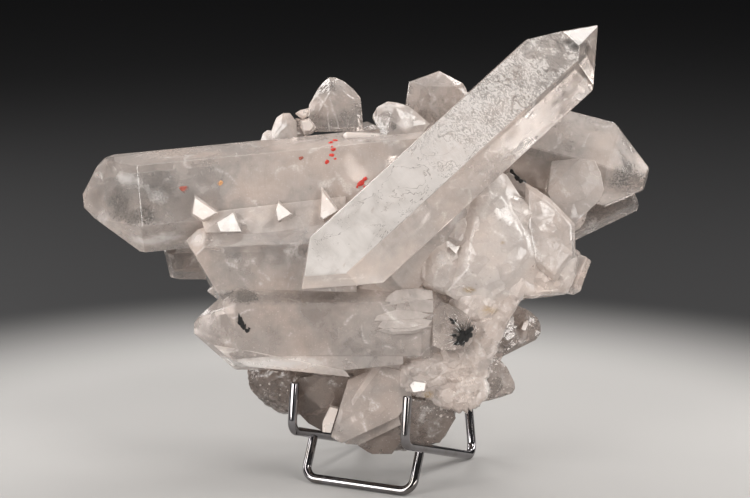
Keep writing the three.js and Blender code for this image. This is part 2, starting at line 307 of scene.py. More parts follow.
# the step they stand on, and the blunt block behind it
STEP = [(-74.5, 15, 31), (-64, 16.5, 30.5), (-12.7, 22.5, 26.5), (-12.7, 5.5, 30), (-41.5, 6.5, 32.5),
        (-72, 7, 33.5), (-70, 12, 6), (-10, 20, 6), (-10, 4, 6), (-70, 6, 6)]
add_block(STEP, 0.66, 0.95)
BLUNT = [(2, [(-91, -2), (-88, -10), (-73, -10), (-72, -1)]),
         (-4, [(-93.5, 0), (-90.5, -12.5), (-86, -13.5), (-71, -13.5), (-70, 1)]),
         (-14, [(-90, 0), (-88, -9), (-72, -9), (-70, 0)])]
add_block(layers(*BLUNT), 0.45, 0.55)
print(len(blocks), "blocks on the left")

# %% White facets that flash: one in the sugar, one at the small crystal, one beside the lowest crystal
add_faces([
    ([(14.8, -57.7), (16.5, -56), (21.6, -56.8), (20.8, -60.2), (16.1, -60.6)], (34,), (0.9, 1)),
    ([(63.8, -35), (65.1, -31.9), (66.9, -31), (67.3, -32.3), (65.6, -35.8)], (6, None, 12, 1.2), (0.9, 1)),
    ([(-19.2, -67.5), (-15.7, -68.3), (-18.9, -78.5), (-22.4, -78.1), (-22.4, -74.3)],
     (27, (0.05, 0.05, 1), 14, 1.05), (0.95, 1)),
])
print(len(blocks), "blocks so far")

# %% The lowest crystal, the faces under and beside it, brown and painted dark as shade, and the far right of the sugar
add_faces([
    ([(-11.5, -55.9), (2.1, -49.9), (14.9, -52.5), (15.8, -62.3), (9.8, -71.7), (-9.4, -80.7),
      (-14.1, -82.8), (-18.8, -80.2), (-15.8, -70)],
     (27, (-0.12, 0.2, 1), 18, 1, 0.4, 4), (0.66, 0.55, 0.3)),
    ([(-35.5, -58), (-32.5, -55.4), (-27.3, -54.5), (-22.9, -55.7), (-9.7, -54.3), (-12, -69.2), (-17, -80),
      (-22.9, -79.2), (-29, -75.7), (-33.8, -70.5), (-36.3, -65.3)],
     (17, (-0.1, -0.5, 1), 18, 1.05, 0.6, 8), (0.6, 0.06)),
    ([(-12.9, -83.9), (-9.5, -79.3), (9.9, -70.2), (11, -75.3), (-1.3, -78.3), (-6.5, -84.3)],
     (23, (-0.1, -0.35, 1), 16, 1), (0.62, 0.62)),
    ([(-3, -77), (10.8, -74), (12.5, -80.4), (9.9, -85.1), (7.3, -88.8), (-1.3, -88.8), (-3.9, -87.3),
      (-7.5, -84.7)], (18, (0.05, -0.6, 1), 16, 1, 0.5, 5), (0.6, 0.25)),
    ([(9, -71.4), (15.9, -63.8), (26.7, -65.1), (33.1, -68.2), (34.8, -72.7), (31.4, -78.7), (28, -83.9),
      (15, -84.7), (11, -80.4)], (21, (0.15, -0.55, 1), 18, 1, 1.2, 9), (0.6, 0.2)),
    ([(56.3, -26.4), (60.3, -23.8), (63.4, -25.5), (68.2, -27.3), (71.7, -30.4), (73, -33.4), (73, -37),
      (70.8, -40), (65.6, -42.2), (59.4, -45.3), (53.7, -48), (48, -45), (50, -35)],
     (2, (0.3, 0.15, 1), 20, 0.9, 1.6, 7), (0.48, 0.55, 0.2, 0.5)),
    ([(46, -50), (51.9, -47.5), (55, -48.8), (57.6, -51.5), (59, -55), (61.2, -58.5), (61.6, -61.2),
      (60.3, -63.4), (57.2, -63.8), (55, -65.1), (52.4, -64.2), (49.7, -66.4), (44, -67.3)],
     (5, (0.35, -0.25, 1), 20, 0.9, 2, 14), (0.62, 0.5, 0.2, 1)),
    ([(65.8, -15.8), (74.4, -14.9), (80.4, -13.2), (83.9, -16.8), (82.1, -19.4), (76.1, -20.6),
      (68.8, -21.4), (63.2, -21.8)], (17, (0, -0.8, 1), 14, 1, 0.8, 8), (0.6, 0.4)),
])
print(len(blocks), "blocks so far")

# %% Blocks along the top edge
add_faces([
    ([(-30, 52), (-29.5, 64), (-26, 67), (-25.5, 71.5), (-23, 74.5), (-20.5, 76.5), (-17.5, 76.5),
      (-13.5, 74.5), (-10, 71.5), (-6.5, 67.5), (-6, 64), (-5, 52)],
     (-10, (-0.1, 0.1, 1), 14, 0.8, 4.5, 8), (0.5, 0.88, 0.3, 0.4)),
    ([(-1, 58.5), (1, 62), (5.5, 64.5), (9.5, 64), (14.5, 62.5), (19.5, 58.5), (24, 54.5), (17.5, 46),
      (4.5, 47), (0.5, 54), (-1, 57)], (8, (0, 0.12, 1), 14, 0.9, 3, 8), (0.58, 1, 0.3, 0.5)),
    ([(15, 74), (28.5, 79), (39, 73.5), (40.5, 71), (42, 66), (40, 50), (11, 48), (13, 57), (14, 64)],
     (-5, (0.05, 0.1, 1), 22, 0.85, 4.5, 6), (0.45, 0.9, 0.3, 0.4)),
    ([(-47.5, 46), (-45, 54.5), (-43.5, 58), (-40.5, 60), (-37.5, 60), (-34.5, 56), (-34, 46)],
     (-2, (-0.15, 0.1, 1), 12, 0.9, 3, 5), (0.55, 0.95, 0.25)),
    ([(-38, 46), (-37, 54), (-35, 58), (-32.5, 57.5), (-31, 52), (-30, 46)],
     (-4, (0.2, 0.1, 1), 12, 0.9, 2.5, 4), (0.5, 0.9, 0.25)),
    ([(-52, 44), (-49.5, 51), (-47.5, 52.5), (-44.5, 52), (-42, 44)],
     (-3, (-0.2, -0.1, 1), 12, 0.9, 2.5, 4), (0.6, 0.95, 0.25)),
])
SPLINTERS = [[(1, [(-34, 60), (-32.5, 61), (-29.5, 61), (-30.5, 58.5), (-32, 58.5)]),
              (-5, [(-35.5, 60), (-33, 61.5), (-28.5, 62.5), (-29, 59), (-32, 57)])],
             [(3, [(-32, 56), (-29, 56.5), (-27, 54), (-28.5, 52), (-31, 52)]),
              (-4, [(-33, 57), (-29, 58), (-26, 54), (-27.5, 51), (-31, 50), (-33, 53.5)])]]
for rings in SPLINTERS:
    add_block(layers(*rings), 0.95, 1)
print(len(blocks), "blocks so far")

# %% Blocks in the mass on the right
GLINT = half_way(np.array([30, 0, 35])) + [0.12, 0, 0.1]
add_faces([
    ([(30, 26.5), (43, 28), (43, 15.5), (40, 10), (35.5, 8.5), (30.5, 9), (29.5, 18.5)],
     (33, (0.05, -0.12, 1), 16, 1.25, 0.3, 5), (0.78, 0.96)),
    ([(31.3, 0.8), (36, 1.3), (34.3, -2.1)], (35.4, GLINT, 6, 1.3), (0.85, 1, 0.1)),
    ([(61.7, 9.4), (63.4, 8.5), (64.4, 5.6), (62.4, 5.8)], (34.6, GLINT, 6, 1.3), (0.85, 1, 0.1)),
    ([(49, 25.5), (57.5, 33), (64.5, 28), (68, 26), (68, 9), (62.5, 13), (57, 21.5)],
     (24, (-0.16, 0.1, 1), 18, 1.1, 0.4, 4), (0.65, 0.66)),
    ([(79.5, 30.5), (88, 39), (94.5, 38), (97, 33), (98.5, 25.5), (97, 21.5), (92.5, 17), (85.5, 10.5),
      (77.5, 17), (74, 24)], (21, (0.1, -0.06, 1), 24, 1.0), (0.75, 0.66), [(76.5, 38, 15)]),
])
# two broad faces that stand out of the mass
add_faces([
    ([(43.1, 22.1), (48.1, 24.4), (54.7, 21.1), (59.9, 12.9), (63.9, 5), (64.5, -1.6), (58.6, -9),
      (48.1, -14.4), (38.9, -9), (41.5, 5)],
     (35.6, (0.04, 0.06, 1), 7.5, 1.7, 1.6, 14), (0.78, 0.9, 0.7, 0.5)),
    ([(65.6, 24.9), (74.3, 19.5), (83.6, 10.3), (83.9, -1.6), (76.2, -10.8), (68.3, -4.2), (65.6, 9)],
     (30.9, (0.28, 0.08, 1), 4, 1.22, 1.3, 8), (0.74, 0.75, 0.5, 0.5)),
])
print(len(blocks), "blocks so far")

# %% Blocks on the low left crystal
# its front carried down, and the bright bevel under it
add_faces([
    ([(-52.3, -41), (-52.3, -43), (-31.6, -47.6), (-12.6, -51.4), (12, -49), (12, -42)],
     (34.5, (0.063, -0.136, 1), 14, 1), (0.6, 0.72, 0.2, 0)),
    ([(-68.3, -40.5), (-52.3, -43), (-31.6, -47.6), (-12.6, -51.4), (-10.5, -54.4), (-31.2, -51.6),
      (-54, -49.9), (-63.2, -45.2)], (34.2, (-0.076, -0.8, 1), 10, 0.97), (0.7, 0.97, 0.3, 0.3)),
])
# blades that overlap on it, and the grey window beside them
BLADES = [([(3, -24.3), (5.2, -20), (8.9, -17.4), (17.6, -16.6), (24.1, -17.6), (24.5, -21), (12, -22)],
           36.1, (-0.1, 0.3, 1)),
          ([(3, -24.3), (7, -21.8), (14, -21), (24.5, -21.5), (24.5, -27), (10.3, -26.5)],
           36.5, (-0.1, -0.1, 1)),
          ([(-0.6, -30.5), (1.2, -27.6), (8.1, -25.8), (17.6, -26.2), (24.1, -27.6), (20, -29.5), (8, -29)],
           36.9, (-0.1, 0.35, 1)),
          ([(1, -33), (3.5, -30), (10, -28.4), (19, -29.2), (24.1, -30), (22, -33), (16, -34.6),
            (7.4, -35.3)], 37.4, (-0.1, 0, 1)),
          ([(0.6, -34.4), (7.4, -36.2), (16.8, -35.6), (24.1, -32.7), (18, -31.5), (8, -32.5)],
           36.6, (0, -0.45, 1)),
          ([(5, -32.2), (9.5, -30.4), (17, -30.8), (20, -32), (15, -33.4), (8, -33.6)],
           37.9, (-0.2, 0.12, 1))]
add_faces([(outline, (height, looks, 8, 1.04), (0.64, 0.88, 0.2)) for outline, height, looks in BLADES])
add_faces([
    ([(24.3, -21.5), (29.8, -23), (36.2, -25.5), (39.5, -28), (42.5, -32.3), (42.9, -35.7), (40.3, -40.8),
      (34, -43), (28, -42.7), (24.5, -41)], (33, (-0.2, 0.12, 1), 14, 1.08, 0.6, 6), (0.38, 0.8)),
])
print(len(blocks), "blocks")

# %% [markdown]
# ## The mass they stand on
# Massive quartz has no outline of its own: it is a heap of grains that grew until they met. Each lump
# is a surface over two angles. Random planes touch an ellipsoid, and the surface follows the nearest
# plane in each direction, blended into its neighbours so that the edges come out rounded and sugary.

# %% Even directions and ripples
GOLDEN_TURN = np.pi * (1 + 5 ** 0.5)


def even_directions(count, shake):
    """Directions spread evenly over a sphere by the golden angle, then shaken."""
    step = np.arange(count) + 0.5
    height = 1 - 2 * step / count
    around = GOLDEN_TURN * step
    ring = np.sqrt(1 - height ** 2)
    n = np.stack([ring * np.cos(around), ring * np.sin(around), height], 1)
    n += rng.normal(0, shake, n.shape)
    return n / np.linalg.norm(n, axis=1, keepdims=True)


def ripple(points, size, strength, waves=24):
    """A smooth random height: the mean of many sine waves of about that size in mm, in all directions."""
    way = even_directions(waves, 0.3) * rng.uniform(0.6, 1.6, (waves, 1)) * 2 * np.pi / size
    phase = rng.uniform(0, 2 * np.pi, waves)
    return strength * np.sin(points @ way.T + phase).sum(-1) / math.sqrt(waves / 2)


print("a golden turn is", round(math.degrees(GOLDEN_TURN) % 360, 1), "degrees")

# %% One lump of massive quartz
COARSE, FINE = 9, 3.2  # sizes of the ripples on a lump, in mm
FARTHEST = 8  # a plane seen edge-on counts as no farther than this many half sizes


def lump(at, half, turn=0, flats=30, sharp=9, rough=0.25, rows=44):
    """Distance from the middle along direction d = soft minimum over the planes of reach / (n.d), where
    reach is the ellipsoid's own reach along n, shortened a little at random. Then two ripples."""
    n = even_directions(flats, 0.16)
    reach = np.linalg.norm(n * half, axis=1) * rng.uniform(0.82, 1.0, flats)
    polar = np.linspace(0, np.pi, rows)[:, None]
    around = np.linspace(0, 2 * np.pi, 2 * rows, endpoint=False)[None, :]
    d = np.stack(np.broadcast_arrays(np.sin(polar) * np.cos(around), np.cos(polar),
                                     np.sin(polar) * np.sin(around)), -1)
    facing = np.maximum(d @ n.T, 1e-3)
    scale = np.mean(half)
    planes = np.minimum(reach / facing / scale, FARTHEST)
    distance = -scale / sharp * np.log(np.exp(-sharp * planes).sum(-1))
    surface = d * distance[..., None]
    height = ripple(surface, COARSE, rough) + ripple(surface, FINE, rough * 0.5)
    surface = surface + d * height[..., None]
    surface[0] = surface[0].mean(0)
    surface[-1] = surface[-1].mean(0)
    c, s = math.cos(deg(turn)), math.sin(deg(turn))
    return surface @ np.array([[c, s, 0], [-s, c, 0], [0, 0, 1]]) + np.array(at, float)


CORE = [([-22, 12, -12], [44, 36, 24], 10), ([20, 6, -6], [42, 46, 25], 0),
        ([57.5, 2, -8], [29, 34, 24], -10), ([11, -38, -4], [44, 34, 24], 0),
        ([-22, -51.5, -4], [28, 20, 19], 10), ([38, -44.5, 0], [16, 26, 18], 10),
        ([82, 20, -8], [16, 16, 16], 30), ([55.5, -4.5, 6], [22, 20, 20], 0)]
masses = [dict(points=lump(*row), look=0.75, tone_and_shade=0.85, rugged=1) for row in CORE]
# the rough underside: brown, and painted dark as shade under the overhang
masses.append(dict(points=lump([9, -71, 3], [31, 16, 18], -4, 26, 16, 0.2, 60),
                   look=0.55, tone_and_shade=0.12, rugged=0.4))
masses.append(dict(points=lump([-37.5, -58.5, 3], [21.5, 14, 13], -24, 24, 15, 0.3, 56),
                   look=0.6, tone_and_shade=0.12, rugged=0.55))
LUMPS = len(masses)
print(LUMPS, "lumps")

# %% [markdown]
# ## The milky front on the right
# Here the crystals never got free of each other. They are one low landscape of flat faces, blunt heads
# and sugar, so it is made as a landscape: for each direction from a middle point the outline is so far
# away, and the height over the front plane is the highest of many small tables. A table is level or
# tilted on top and falls off at its own slope outside a polygon.

# %% Heights of tables and of faceted heads
LOWEST = -50.0
HEAD_RIM = 1.3  # a head falls away outside this square of its half size
HEAD_FALL = 2.5
LINE_HEIGHT, LINE_WIDTH = 0.13, 0.12


def tables_height(x, y, tables, knit):
    """Table i is z + tilt.(offset) - steep * (distance outside its polygon); heights are joined by a
    soft maximum, knit mm wide. Rows of tables: x, y, z, half width, steep, sides, turn, tilt x, tilt y,
    and stretch, which makes the polygon taller than wide when it is under 1."""
    at_x, at_y, z, half, steep, sides, turn, tilt_x, tilt_y, stretch = np.array(tables, float).T
    dx = x[..., None] - at_x
    dy = y[..., None] - at_y
    part = 2 * np.pi / sides
    angle = np.arctan2(dy * stretch, dx) - np.radians(turn)
    outside = np.hypot(dx, dy * stretch) * np.cos(np.mod(angle, part) - part / 2) - half
    height = z + tilt_x * dx + tilt_y * dy - steep * np.maximum(outside, 0)
    top = height.max(-1)
    return top + knit * np.log(np.exp((height - top[..., None]) / knit).sum(-1))


def heads_height(x, y, heads):
    """Head j is a faceted dome: the lowest of many planes that touch the bowl z - sink (dx/a)^2 -
    sink (dy/b)^2 at random places, with a thin raised line where two planes meet. Rows of heads:
    x, y, z, a, b, sink, turn, number of planes."""
    top = np.full(x.shape, LOWEST)
    for at_x, at_y, z, a, b, sink, turn, planes in heads:
        c, s = math.cos(deg(turn)), math.sin(deg(turn))
        u = ((x - at_x) * c + (y - at_y) * s) / a
        v = (-(x - at_x) * s + (y - at_y) * c) / b
        touch = np.vstack([even_directions(2 * planes, 0.25)[:planes, :2] * 1.1, [0, 0]])
        slope = 2 * u[..., None] * touch[:, 0] + 2 * v[..., None] * touch[:, 1]
        height = np.sort(z - sink * (slope - (touch ** 2).sum(1)), -1)
        edge = LINE_HEIGHT * np.maximum(1 - (height[..., 1] - height[..., 0]) / LINE_WIDTH, 0)
        outside = np.maximum(u ** 2 + v ** 2 - HEAD_RIM, 0)
        top = np.maximum(top, height[..., 0] + edge - HEAD_FALL * outside)
    return top


def scattered(count, middle, spread, dome, half, steep, lean):
    """Random tables round a middle; they follow a dome that is dome[0] high and sinks by dome[1] mm at
    the end of its spread, and stand dome[2] higher or lower at random."""
    place = rng.uniform(-1, 1, (count, 2))
    z = dome[0] - dome[1] * (place ** 2).sum(1) + rng.normal(0, dome[2], count)
    return np.stack([middle[0] + place[:, 0] * spread[0], middle[1] + place[:, 1] * spread[1], z,
                     rng.uniform(*half, count), rng.uniform(*steep, count), rng.integers(4, 7, count),
                     rng.uniform(0, 90, count), *np.clip(rng.normal(0, lean, (2, count)), -0.4, 0.4),
                     rng.uniform(0.6, 1.2, count)], 1)


print("a raised line is", LINE_HEIGHT, "mm high")

# %% A landscape inside its outline
RIM_TEETH = 90
RIM_POWER, RIM_ROOT = 30, 2.2
ROWS, COLUMNS = 100, 280


def landscape(middle, outline, tables, heads, back, knit, grain, jagged):
    """Point (s, a) stands s R(a) from the middle, R(a) read off the outline and shortened at random by
    up to a few times jagged. Its height sinks to back at the rim as (1 - s^30)^(1/2.2), and the last
    row closes the back."""
    middle = np.array(middle, float)
    off = np.array(outline, float) - middle
    around = np.arctan2(off[:, 1], off[:, 0])
    order = np.argsort(around)
    a = np.linspace(-np.pi, np.pi, COLUMNS, endpoint=False)
    reach = np.interp(a, around[order], np.hypot(*off.T)[order], period=2 * np.pi)
    teeth = np.interp(a, np.linspace(-np.pi, np.pi, RIM_TEETH), rng.normal(0, 1, RIM_TEETH))
    reach *= 1 - jagged * np.abs(teeth)
    s = np.sin(np.linspace(0, np.pi / 2, ROWS))[:, None]
    x = middle[0] + s * reach * np.cos(a)
    y = middle[1] + s * reach * np.sin(a)
    flat = np.stack([x, y, np.zeros_like(x)], -1)
    z = np.maximum(tables_height(x, y, tables, knit), heads_height(x, y, heads))
    z += ripple(flat, 5, grain) + ripple(flat, 1.8, grain * 0.4)
    z = back + (z - back) * np.maximum(1 - s ** RIM_POWER, 0) ** (1 / RIM_ROOT)
    grid = np.stack([x, y, z], -1)
    grid[0] = grid[0].mean(0)
    closing = np.empty((1, COLUMNS, 3))
    closing[:] = [middle[0], middle[1], back - 0.5]
    return np.concatenate([grid, closing])


LANDSCAPE_BACK = -4
print("each landscape has", ROWS + 1, "x", COLUMNS, "points")

# %% The upper landscape: two blunt heads, flat faces, a ring of facets
UPPER_OUTLINE = [(84.7, 10.3), (85.7, 1.3), (89, -3.9), (87.9, -11.9), (83.7, -19.8), (73.9, -20.8),
                 (64.5, -21.8), (55.9, -28), (45.2, -26), (32.3, -21.5), (19.4, -17.3), (12.5, -5.6),
                 (12.9, 6), (21.5, 19.9), (30.1, 32), (43, 33), (50, 29.5), (57, 25.5), (66.5, 22),
                 (77.8, 17.9)]
upper_tables = [(16.5, -8, 32, 4, 0.8, 5, 30, 0.3, 0.0, 0.8),
                (46, -22, 30, 4.5, 0.8, 5, 12, 0.0, -0.35, 0.9),
                (79, -14, 20, 4, 0.9, 6, 10, -0.4, -0.4, 0.8)]
upper_heads = [(50.5, 3, 36.2, 12, 20, 4.4, 4, 20), (49, -12, 35.4, 9, 11, 3.4, -12, 10),
               (58, 13, 34, 8, 9, 3, 20, 10), (74.5, 3, 30, 10.5, 17, 4.2, 12, 16),
               (70, -9, 28.8, 9, 9, 3.4, 0, 10), (28, -7, 34.8, 8.5, 11.5, 3.2, -10, 14),
               (36, 8, 33.4, 9, 8, 3, 30, 10), (24, 6, 31.7, 8, 8, 3, 40, 8), (40, -14, 34, 7, 8, 2.6, 0, 9),
               (60, -16, 32.6, 7, 8, 3, 10, 9), (66, 12, 29, 5, 9, 3, 0, 8)]
upper_tables = np.vstack([upper_tables, scattered(34, [50, 0], [36, 28], [28.6, 7, 0.8], [1.5, 4.2],
                                                  [0.4, 0.8], 0.17)])
upper = landscape([53, 2], UPPER_OUTLINE, upper_tables, upper_heads, LANDSCAPE_BACK, 0.14, 0.07, 0.012)
masses.append(dict(points=upper, look=0.76, tone_and_shade=0.92, rugged=0.5))
print(len(upper_tables), "tables and", len(upper_heads), "heads")

# %% The lower landscape: the white neck and the sugar under it
LOWER_OUTLINE = [(40, -8), (54, -8), (66, -16), (60, -27.4), (57.4, -33), (55, -39), (52.5, -45),
                 (50.5, -51), (49.5, -57), (50.5, -62.5), (47.9, -65.9), (44.1, -69.8), (38.5, -71.9),
                 (33, -70.6), (27.8, -68.9), (21.4, -65.5), (14.1, -62.5), (8, -60), (5, -54), (10.8, -49),
                 (16, -43.3), (24.5, -41.3), (28, -30)]
lower_tables = [(46.5, -30, 31, 6, 0.8, 6, 10, 0.0, 0.12, 0.35), (49, -52, 20, 5, 0.9, 5, 0, -0.2, 0, 0.5),
                (34, -58, 26, 7, 0.7, 5, 20, 0.05, -0.1, 0.9), (20, -66, 27, 7, 0.7, 5, 0, -0.05, -0.3, 1.0),
                (15.3, -58.5, 30.5, 2.4, 1.3, 4, 20, 0.15, 0.2, 1.0),
                (40, -65, 19, 4, 0.9, 5, 0, -0.2, -0.3, 1.0),
                (46.5, -56, 26, 1.6, 0.9, 6, 10, -0.1, 0.0, 0.22)]
lower_heads = [(20, -60, 28.6, 6, 5, 2.4, 10, 7), (31, -62, 27.6, 7, 5.5, 2.2, -20, 8),
               (40, -58, 27.2, 7, 6, 2.4, 30, 8), (34, -50, 28.6, 7, 6, 2, 0, 8),
               (22, -50, 29.4, 7, 5, 2, 15, 7), (43, -47, 26.4, 5, 6, 2, 0, 7),
               (47, -33, 30.6, 4.8, 12, 2, 5, 9), (54, -25, 31.5, 7, 7, 2, 0, 7),
               (44, -23, 34, 8, 6, 2, 20, 7)]
lower_tables = np.vstack([lower_tables, scattered(90, [33, -52], [24, 26], [26.2, 5, 1.5], [0.3, 2.0],
                                                  [0.7, 1.9], 0.35),
                          scattered(120, [36, -56], [18, 18], [26, 5, 1.3], [0.15, 0.8], [0.9, 2.0], 0.35)])
lower = landscape([33, -52], LOWER_OUTLINE, lower_tables, lower_heads, LANDSCAPE_BACK, 0.05, 0.06, 0.035)
masses.append(dict(points=lower, look=0.72, tone_and_shade=0.82, rugged=0.85))
print(len(lower_tables), "tables and", len(lower_heads), "heads")

# %% [markdown]
# ## Joining them into one stone
# Crystals that grew into each other share their inside: light meets no wall where they overlap. So
# every closed solid gets its edges softened a little, as real edges are, and the Boolean modifier's
# Manifold solver then keeps only the common outside of them all. Every face carries the number of the
# solid it came from through the join, so that its finish can still follow that solid.

# %% Put a solid into Blender, with softened edges
FLAT = deg(0.5)
SAME_VERTEX = 1e-6


def put(name, points, soften):
    """The hull round the corners, its flat faces whole, and every edge cut back by soften mm."""
    mesh = bpy.data.meshes.new(name)
    mesh.from_pydata(to_row(points).tolist(), [], [])
    bm = bmesh.new()
    bm.from_mesh(mesh)
    bmesh.ops.convex_hull(bm, input=bm.verts)
    bmesh.ops.dissolve_limit(bm, angle_limit=FLAT, verts=bm.verts, edges=bm.edges)
    if soften:
        bmesh.ops.bevel(bm, geom=bm.edges, offset=soften * MM, segments=1 + round(soften), profile=0.5,
                        affect="EDGES", clamp_overlap=True)
    bmesh.ops.recalc_face_normals(bm, faces=bm.faces)
    bm.to_mesh(mesh)
    bm.free()
    return add(name, mesh)


def put_grid(name, grid):
    """Rows of a grid that closes round on itself; each end row lies on one point. In metres."""
    rows, columns, _ = grid.shape
    index = np.arange(rows * columns).reshape(rows, columns)
    a, b = index[:-1], index[1:]
    quads = np.stack([a, np.roll(a, -1, 1), np.roll(b, -1, 1), b], -1).reshape(-1, 4)
    mesh = bpy.data.meshes.new(name)
    mesh.from_pydata(grid.reshape(-1, 3).tolist(), [], quads.tolist())
    bm = bmesh.new()
    bm.from_mesh(mesh)
    bmesh.ops.remove_doubles(bm, verts=bm.verts, dist=SAME_VERTEX)
    bmesh.ops.recalc_face_normals(bm, faces=bm.faces)
    bm.to_mesh(mesh)
    bm.free()
    return add(name, mesh)


print("faces within", round(math.degrees(FLAT), 2), "degrees of each other count as one")

# %% Number the faces and join the solids
SOFT_LONG, SOFT_SHORT = 0.32, 0.2
LONG_FROM = 70
BLOCK, MASS, CHIP, WIRE_ROOM = 500, 1000, 1500, 2000  # the first number of each kind of solid


def number_faces(piece, number):
    """Every face remembers the solid it came from; the Boolean carries the number over."""
    marks = piece.data.attributes.new("part", "INT", "FACE")
    marks.data.foreach_set("value", np.full(len(piece.data.polygons), number, np.int32))
    return piece


def combined(base, others, operation):
    """base with every other solid joined to it or cut from it."""
    for other in others:
        step = base.modifiers.new(other.name, "BOOLEAN")
        step.solver = "MANIFOLD"
        step.operation = operation
        step.object = other
    ready = base.evaluated_get(bpy.context.evaluated_depsgraph_get())
    joined = bpy.data.meshes.new_from_object(ready)
    base.modifiers.clear()
    base.data = joined
    for other in others:
        bpy.data.objects.remove(other)
    return base


bodies = []
for number, one in enumerate(crystals):
    points = corners_between(one["normals"], one["reach"])
    soften = one.get("soften", SOFT_LONG if one["length"] > LONG_FROM else SOFT_SHORT)
    bodies.append(number_faces(put(f"crystal_{number}", points, soften), number))
for number, one in enumerate(blocks):
    bodies.append(number_faces(put(f"block_{number}", one["points"], one["soften"]), BLOCK + number))
for number, one in enumerate(masses):
    bodies.append(number_faces(put_grid(f"mass_{number}", to_row(one["points"])), MASS + number))
stone = combined(bodies[0], bodies[1:], "UNION")
stone.name = "quartz_cluster"
stone.data.name = "quartz_cluster"
print("the stone has", len(stone.data.polygons), "faces")

# %% [markdown]
# ## Sugar: chips that flash
# What makes rock crystal sparkle is hundreds of facets no bigger than a grain of sugar. Each is a small
# irregular prism set into the skin. Where it sits is found by looking along a ray from the eye, and it
# is tilted at random about the direction that would flash. No two of them touch, so they form one
# clean mesh that the stone can take up in a single join.

# %% Where a ray from the eye meets the stone
def turn_to_stone(vectors):
    """The turn of to_stone without its shift, for directions."""
    return to_stone(vectors) - to_stone(np.zeros(3))


def skin_at(tree, x, y):
    """First point of the stone on the ray from the eye through (x, y) of the front plane z = 0, and its
    normal there, both in the stone frame; None where the ray misses."""
    start = Vector(to_row([0, 0, EYE]))
    way = Vector(to_row([x, y, 0])) - start
    hit, normal, _, _ = tree.ray_cast(start, way.normalized())
    return None if hit is None else (to_stone(np.array(hit)), turn_to_stone(np.array(normal)))


def tree_of(piece):
    """The piece's faces, sorted so that a ray finds the first one quickly."""
    mesh = piece.data
    return BVHTree.FromPolygons([v.co for v in mesh.vertices], [p.vertices for p in mesh.polygons])


bare_tree = tree_of(stone)
print("straight ahead the skin lies at z =", round(float(skin_at(bare_tree, 0, 0)[0][2]), 1), "mm")

# %% Where chips sit
# rows: middle x and y, half width and height, how many, size from and to, how far they tilt
SUGAR = [(57, 14, 5, 5, 60, 0.25, 0.8, 0.2), (73.5, -9, 6, 5, 34, 0.25, 0.8, 0.25),
         (42, -13, 5, 3, 16, 0.25, 0.8, 0.25), (38, 7, 7, 4, 14, 0.25, 0.7, 0.25),
         (33, -59, 18, 16, 330, 0.3, 1.1, 0.35), (49, -36, 6, 10, 50, 0.3, 0.9, 0.35),
         (56, -60, 8, 10, 60, 0.3, 1.0, 0.35), (63, -37, 11, 9, 16, 0.3, 0.8, 0.4),
         (-47, -62, 10, 9, 36, 0.3, 0.9, 0.4), (-42, -51.5, 20, 2, 46, 0.25, 0.8, 0.3),
         (-54, -47, 16, 4, 26, 0.25, 0.7, 0.3), (8, -86, 24, 5, 12, 0.25, 0.5, 0.4),
         (-75, 6, 4, 5, 36, 0.25, 0.8, 0.25), (48, 2, 42, 30, 50, 0.25, 0.7, 0.35),
         (105, 25, 16, 8, 16, 0.2, 0.5, 0.4)]
CHIP_SPACING = 1.3
TO_FLASH, TO_SKIN = 0.7, 0.6


def chips_on(tree):
    """Middle, direction and size of every chip, thinned so that no two touch."""
    found = []
    for x, y, half_x, half_y, wanted, smallest, biggest, tilt in SUGAR:
        for _ in range(wanted):
            place = rng.uniform(-1, 1, 2)
            size = smallest + (biggest - smallest) * rng.uniform() ** 2
            shake = rng.normal(0, tilt, 3)
            meets = skin_at(tree, x + place[0] * half_x, y + place[1] * half_y)
            if meets is None or (place ** 2).sum() > 1:
                continue
            at, normal = meets
            n = TO_FLASH * half_way(at) + TO_SKIN * normal + shake
            if all(np.linalg.norm(at - other[0]) > CHIP_SPACING * (size + other[2]) for other in found):
                found.append((at, n / np.linalg.norm(n), size))
    return found


found = chips_on(bare_tree)
print(len(found), "chips")

# %% Chips as one mesh, joined to the stone
CHIP_SIDES = 6


def chip_mesh(found):
    """Ring k of chip j: middle + n h_k + size w_k r (cos a, sin a), with a random reach r for every
    corner; the rings are a small face in front and a bigger one behind."""
    middle = np.array([at for at, _, _ in found])
    n = np.array([n for _, n, _ in found])
    size = np.array([size for _, _, size in found])[:, None, None]
    e1 = np.cross(n, [0.2, 1, 0.1])
    e1 /= np.linalg.norm(e1, axis=1, keepdims=True)
    e2 = np.cross(n, e1)
    i = np.arange(CHIP_SIDES)
    a = 2 * np.pi * i / CHIP_SIDES + rng.uniform(0, 1, (len(found), 1))
    ring = (np.cos(a)[..., None] * e1[:, None] + np.sin(a)[..., None] * e2[:, None])
    ring = ring * rng.uniform(0.65, 1, (len(found), CHIP_SIDES, 1)) * size
    front = middle[:, None] + ring * 0.85 + n[:, None] * size * 0.16
    back = middle[:, None] + ring - n[:, None] * size * 0.9
    points = np.concatenate([front, back], 1).reshape(-1, 3)
    base = 2 * CHIP_SIDES * np.arange(len(found))[:, None]
    lids = np.concatenate([base + i, base + CHIP_SIDES + i[::-1]])
    after = np.roll(i, -1)
    walls = (base[..., None] + np.stack([after, i, i + CHIP_SIDES, after + CHIP_SIDES], -1)).reshape(-1, 4)
    mesh = bpy.data.meshes.new("chips")
    mesh.from_pydata(to_row(points).tolist(), [], lids.tolist() + walls.tolist())
    return add("chips", mesh)


combined(stone, [number_faces(chip_mesh(found), CHIP)], "UNION")
print("with its chips the stone has", len(stone.data.polygons), "faces")

# %% [markdown]
# ## The easel's wire
# The easel is one long wire bent in eight places, and a second wire in the shape of a U is welded
# under it as a foot. A wire is a circle carried along a path. The path is a row of corners, each
# rounded by an arc, and the circle stays square to it.

